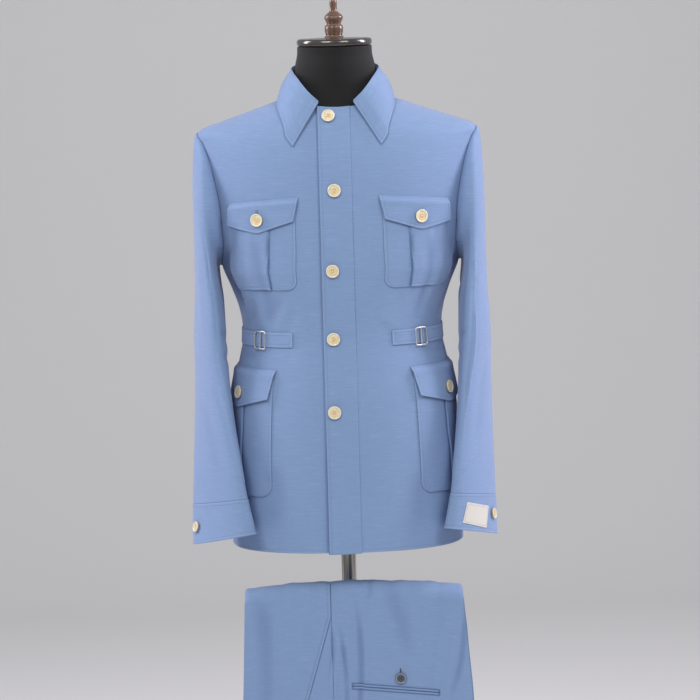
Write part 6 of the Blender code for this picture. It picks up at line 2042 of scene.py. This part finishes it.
# Each row: place x, y, z, the height it aims at, width, height, power, and its colour
LIGHTS = (
    (-1.3, -2.6, 3.5, 1.25, 1.5, 1.3, 56.0, 1.0, 0.99, 0.97),
    (1.5, -2.4, 3.3, 1.25, 1.3, 1.3, 41.0, 1.0, 0.99, 0.98),
    (-2.5, 0.35, 2.4, 1.25, 0.7, 1.8, 54.0, 0.96, 0.90, 1.0),
    (2.5, 0.35, 2.4, 1.25, 0.7, 1.8, 66.0, 0.97, 0.89, 1.0),
)


def build_lights():
    """Large soft lights: two in front and above, two beside and a little behind, and a pale surround."""
    strength = bpy.context.scene.suit_stage.light
    for index, (x, y, z, aim_z, width, height, power, red, green, blue) in enumerate(LIGHTS, 1):
        data = bpy.data.lights.new("soft_light_%d" % index, "AREA")
        data.shape = "RECTANGLE"
        data.size, data.size_y = width, height
        data.energy = power * strength
        data.color = (red, green, blue)
        light = bpy.data.objects.new("soft_light_%d" % index, data)
        back = unit(np.array([x, y, z - aim_z]))
        right = unit(np.cross(UP, back))
        stood(light, right, np.cross(back, right), back, (x, y, z))
    world = bpy.data.worlds.new("pale_surround")
    world.use_nodes = True
    world.node_tree.nodes["Background"].inputs[0].default_value = (0.90, 0.93, 0.93, 1.0)
    world.node_tree.nodes["Background"].inputs[1].default_value = bpy.context.scene.suit_stage.surround
    bpy.context.scene.world = world
    bpy.context.scene.view_settings.view_transform = "Standard"


def build_floor():
    """A studio sheet: a flat floor that turns up in a quarter circle into a back wall."""
    half, back, bend, top = STUDIO["half"], STUDIO["back"], STUDIO["bend"], STUDIO["top"]
    turn = np.linspace(0, math.pi / 2, 25)
    depth = np.concatenate([[-half], back + bend * np.sin(turn), [back + bend]])
    height = np.concatenate([[0.0], bend - bend * np.cos(turn), [top]])
    x = np.linspace(-half, half, 13)[None, :]
    points = np.stack(np.broadcast_arrays(x, depth[:, None], height[:, None] - 0.0004), axis=-1)
    mesh = bpy.data.meshes.new("studio_floor")
    mesh.from_pydata(points.reshape(-1, 3).tolist(), [], grid_quads(points.shape[0], 13).tolist())
    mesh.materials.append(FINISH["floor"]())
    mesh.shade_smooth()
    floor = bpy.data.objects.new("studio_floor", mesh)
    bpy.context.scene.collection.objects.link(floor)


# ---- Add-on -----------------------------------------------------------------------------------------

class ClothSettings(bpy.types.PropertyGroup):
    """Sizes and colours of the suit's cloth and sewing."""

    colour: FloatVectorProperty(name="Cloth colour", description="Colour of the cloth's blue threads",
                                default=(0.210, 0.312, 0.525), size=3, subtype="COLOR", min=0, max=1)
    slub_colour: FloatVectorProperty(name="Slub colour", description="Colour of the cloth's pale slubs",
                                     default=(0.42, 0.53, 0.76), size=3, subtype="COLOR", min=0, max=1)
    thread_pitch: FloatProperty(name="Thread pitch", description="Distance between the weave's threads",
                                default=0.00055, min=0.0002, max=0.002, unit="LENGTH", precision=5)
    stitch_length: FloatProperty(name="Stitch length", description="Length of one topstitch",
                                 default=0.0026, min=0.001, max=0.006, unit="LENGTH", precision=4)
    stitch_gap: FloatProperty(name="Stitch gap", description="Gap between two topstitches",
                              default=0.0009, min=0.0003, max=0.003, unit="LENGTH", precision=4)


class TrimSettings(bpy.types.PropertyGroup):
    """Colours of the buttons."""

    horn_rim: FloatVectorProperty(name="Button rim", description="Colour of the pale buttons' rims",
                                  default=(0.80, 0.76, 0.64), size=3, subtype="COLOR", min=0, max=1)
    horn_middle: FloatVectorProperty(name="Button middle", description="Colour of the pale buttons' middles",
                                     default=(0.78, 0.60, 0.32), size=3, subtype="COLOR", min=0, max=1)


class StandSettings(bpy.types.PropertyGroup):
    """Colours of the dress form's stand."""

    wood_colour: FloatVectorProperty(name="Finial colour", description="Colour of the turned finial's stain",
                                     default=(0.165, 0.088, 0.058), size=3, subtype="COLOR", min=0, max=1)


class StageSettings(bpy.types.PropertyGroup):
    """The studio's floor and light."""

    floor_colour: FloatVectorProperty(name="Floor colour", description="Colour of the studio sheet",
                                      default=(0.80, 0.80, 0.80), size=3, subtype="COLOR", min=0, max=1)
    light: FloatProperty(name="Light", description="Strength of the soft lights", default=1.0, min=0, max=5)
    surround: FloatProperty(name="Surround", description="Strength of the pale surround",
                            default=0.33, min=0, max=3)


class SUIT_OT_jacket_body(bpy.types.Operator):
    """Builds the jacket's fronts, back and placket with their stitching"""

    bl_idname = "suit.jacket_body"
    bl_label = "Jacket body"

    def execute(self, context):
        build_front(1, "left")
        build_front(-1, "right")
        build_back()
        build_placket()
        build_body_stitches()
        return {"FINISHED"}


class SUIT_OT_sleeves(bpy.types.Operator):
    """Builds the sleeves, the cuffs and the blank woven patch"""

    bl_idname = "suit.sleeves"
    bl_label = "Sleeves and cuffs"

    def execute(self, context):
        for side, name in BOTH_SIDES:
            build_sleeves_of(side, name)
            build_cuff(side, name)
        build_sleeve_stitches()
        build_patch()
        return {"FINISHED"}


class SUIT_OT_pockets(bpy.types.Operator):
    """Builds the patch pockets and their flaps"""

    bl_idname = "suit.pockets"
    bl_label = "Pockets and flaps"

    def execute(self, context):
        rows = []
        for side, name in BOTH_SIDES:
            rows += build_pocket("chest_pocket_" + name, side, CHEST_POCKET, from_x, 0.115)
            rows += build_pocket("hip_pocket_" + name, side, HIP_POCKET, from_degrees, 0.165)
            rows += build_flap("chest_flap_" + name, side, CHEST_FLAP, from_x, 0.118,
                               FLAP_BUTTON_DROP["chest"])
            rows += build_flap("hip_flap_" + name, side, HIP_FLAP, from_degrees, 0.175,
                               FLAP_BUTTON_DROP["hip"])
        sew("pocket_stitches", rows)
        return {"FINISHED"}


class SUIT_OT_waist_tabs(bpy.types.Operator):
    """Builds the waist tabs and their slide buckles"""

    bl_idname = "suit.waist_tabs"
    bl_label = "Waist tabs"

    def execute(self, context):
        rows = []
        tip = from_x(TAB["front"], TAB["bottom"])[0]
        end = math.radians(TAB["side"])
        half = SEAM / 2 / BODY_GIRTH
        for side, name in BOTH_SIDES:
            split = from_x(BUCKLE_X[name], TAB["bottom"])[0]
            rows += build_tab("tab_front_" + name, side, tip, split - half, TAB["tip"],
                              "waist_tab_front_" + name, 0.0, 0.051)
            rows += build_tab("tab_side_" + name, side, split + half, end, 0.0,
                              "waist_tab_side_" + name, 0.0016, 0.105)
            build_buckle("buckle_" + name, side)
        sew("tab_stitches", rows)
        return {"FINISHED"}


class SUIT_OT_collar(bpy.types.Operator):
    """Builds the collar's stand and leaf"""

    bl_idname = "suit.collar"
    bl_label = "Collar"

    def execute(self, context):
        build_collar()
        return {"FINISHED"}


class SUIT_OT_buttons(bpy.types.Operator):
    """Builds the pale buttons, their threads and the buttonholes that show"""

    bl_idname = "suit.buttons"
    bl_label = "Buttons"

    def execute(self, context):
        build_buttons()
        return {"FINISHED"}


class SUIT_OT_trousers(bpy.types.Operator):
    """Builds the folded trousers with their waistband, jet pocket and button"""

    bl_idname = "suit.trousers"
    bl_label = "Trousers"

    def execute(self, context):
        build_trouser_layers()
        build_trouser_panels()
        build_waistband()
        build_welt()
        build_trouser_stitches()
        return {"FINISHED"}


class SUIT_OT_stand(bpy.types.Operator):
    """Builds the dress form and its stand"""

    bl_idname = "suit.stand"
    bl_label = "Dress form and stand"

    def execute(self, context):
        build_form()
        build_stand_parts()
        return {"FINISHED"}


class SUIT_OT_stage(bpy.types.Operator):
    """Builds the studio sheet, the soft lights and the camera"""

    bl_idname = "suit.stage"
    bl_label = "Stage"

    def execute(self, context):
        build_floor()
        build_lights()
        build_camera()
        return {"FINISHED"}


OPERATORS = (SUIT_OT_stand, SUIT_OT_jacket_body, SUIT_OT_collar, SUIT_OT_sleeves, SUIT_OT_pockets,
             SUIT_OT_waist_tabs, SUIT_OT_buttons, SUIT_OT_trousers, SUIT_OT_stage)
SETTINGS = (("suit_cloth", ClothSettings), ("suit_trims", TrimSettings), ("suit_stand", StandSettings),
            ("suit_stage", StageSettings))


class SUIT_PT_panel(bpy.types.Panel):
    """Lists the suit's settings and the pieces that can be built"""

    bl_idname = "SUIT_PT_panel"
    bl_label = "Safari suit"
    bl_space_type = "VIEW_3D"
    bl_region_type = "UI"
    bl_category = "Suit"

    def draw(self, context):
        for name, group in SETTINGS:
            box = self.layout.box()
            for field in group.__annotations__:
                box.prop(getattr(context.scene, name), field)
        for operator in OPERATORS:
            self.layout.operator(operator.bl_idname)


def register():
    """Registers the settings, the operators and the panel."""
    for name, group in SETTINGS:
        bpy.utils.register_class(group)
        setattr(bpy.types.Scene, name, PointerProperty(type=group))
    for cls in OPERATORS + (SUIT_PT_panel,):
        bpy.utils.register_class(cls)


def unregister():
    """Takes everything back out."""
    for cls in (SUIT_PT_panel,) + OPERATORS[::-1]:
        bpy.utils.unregister_class(cls)
    for name, group in SETTINGS[::-1]:
        delattr(bpy.types.Scene, name)
        bpy.utils.unregister_class(group)


def main():
    """Builds every piece in order."""
    register()
    bpy.ops.suit.stand()
    bpy.ops.suit.jacket_body()
    bpy.ops.suit.collar()
    bpy.ops.suit.sleeves()
    bpy.ops.suit.pockets()
    bpy.ops.suit.waist_tabs()
    bpy.ops.suit.buttons()
    bpy.ops.suit.trousers()
    bpy.ops.suit.stage()


if __name__ == "__main__":
    main()
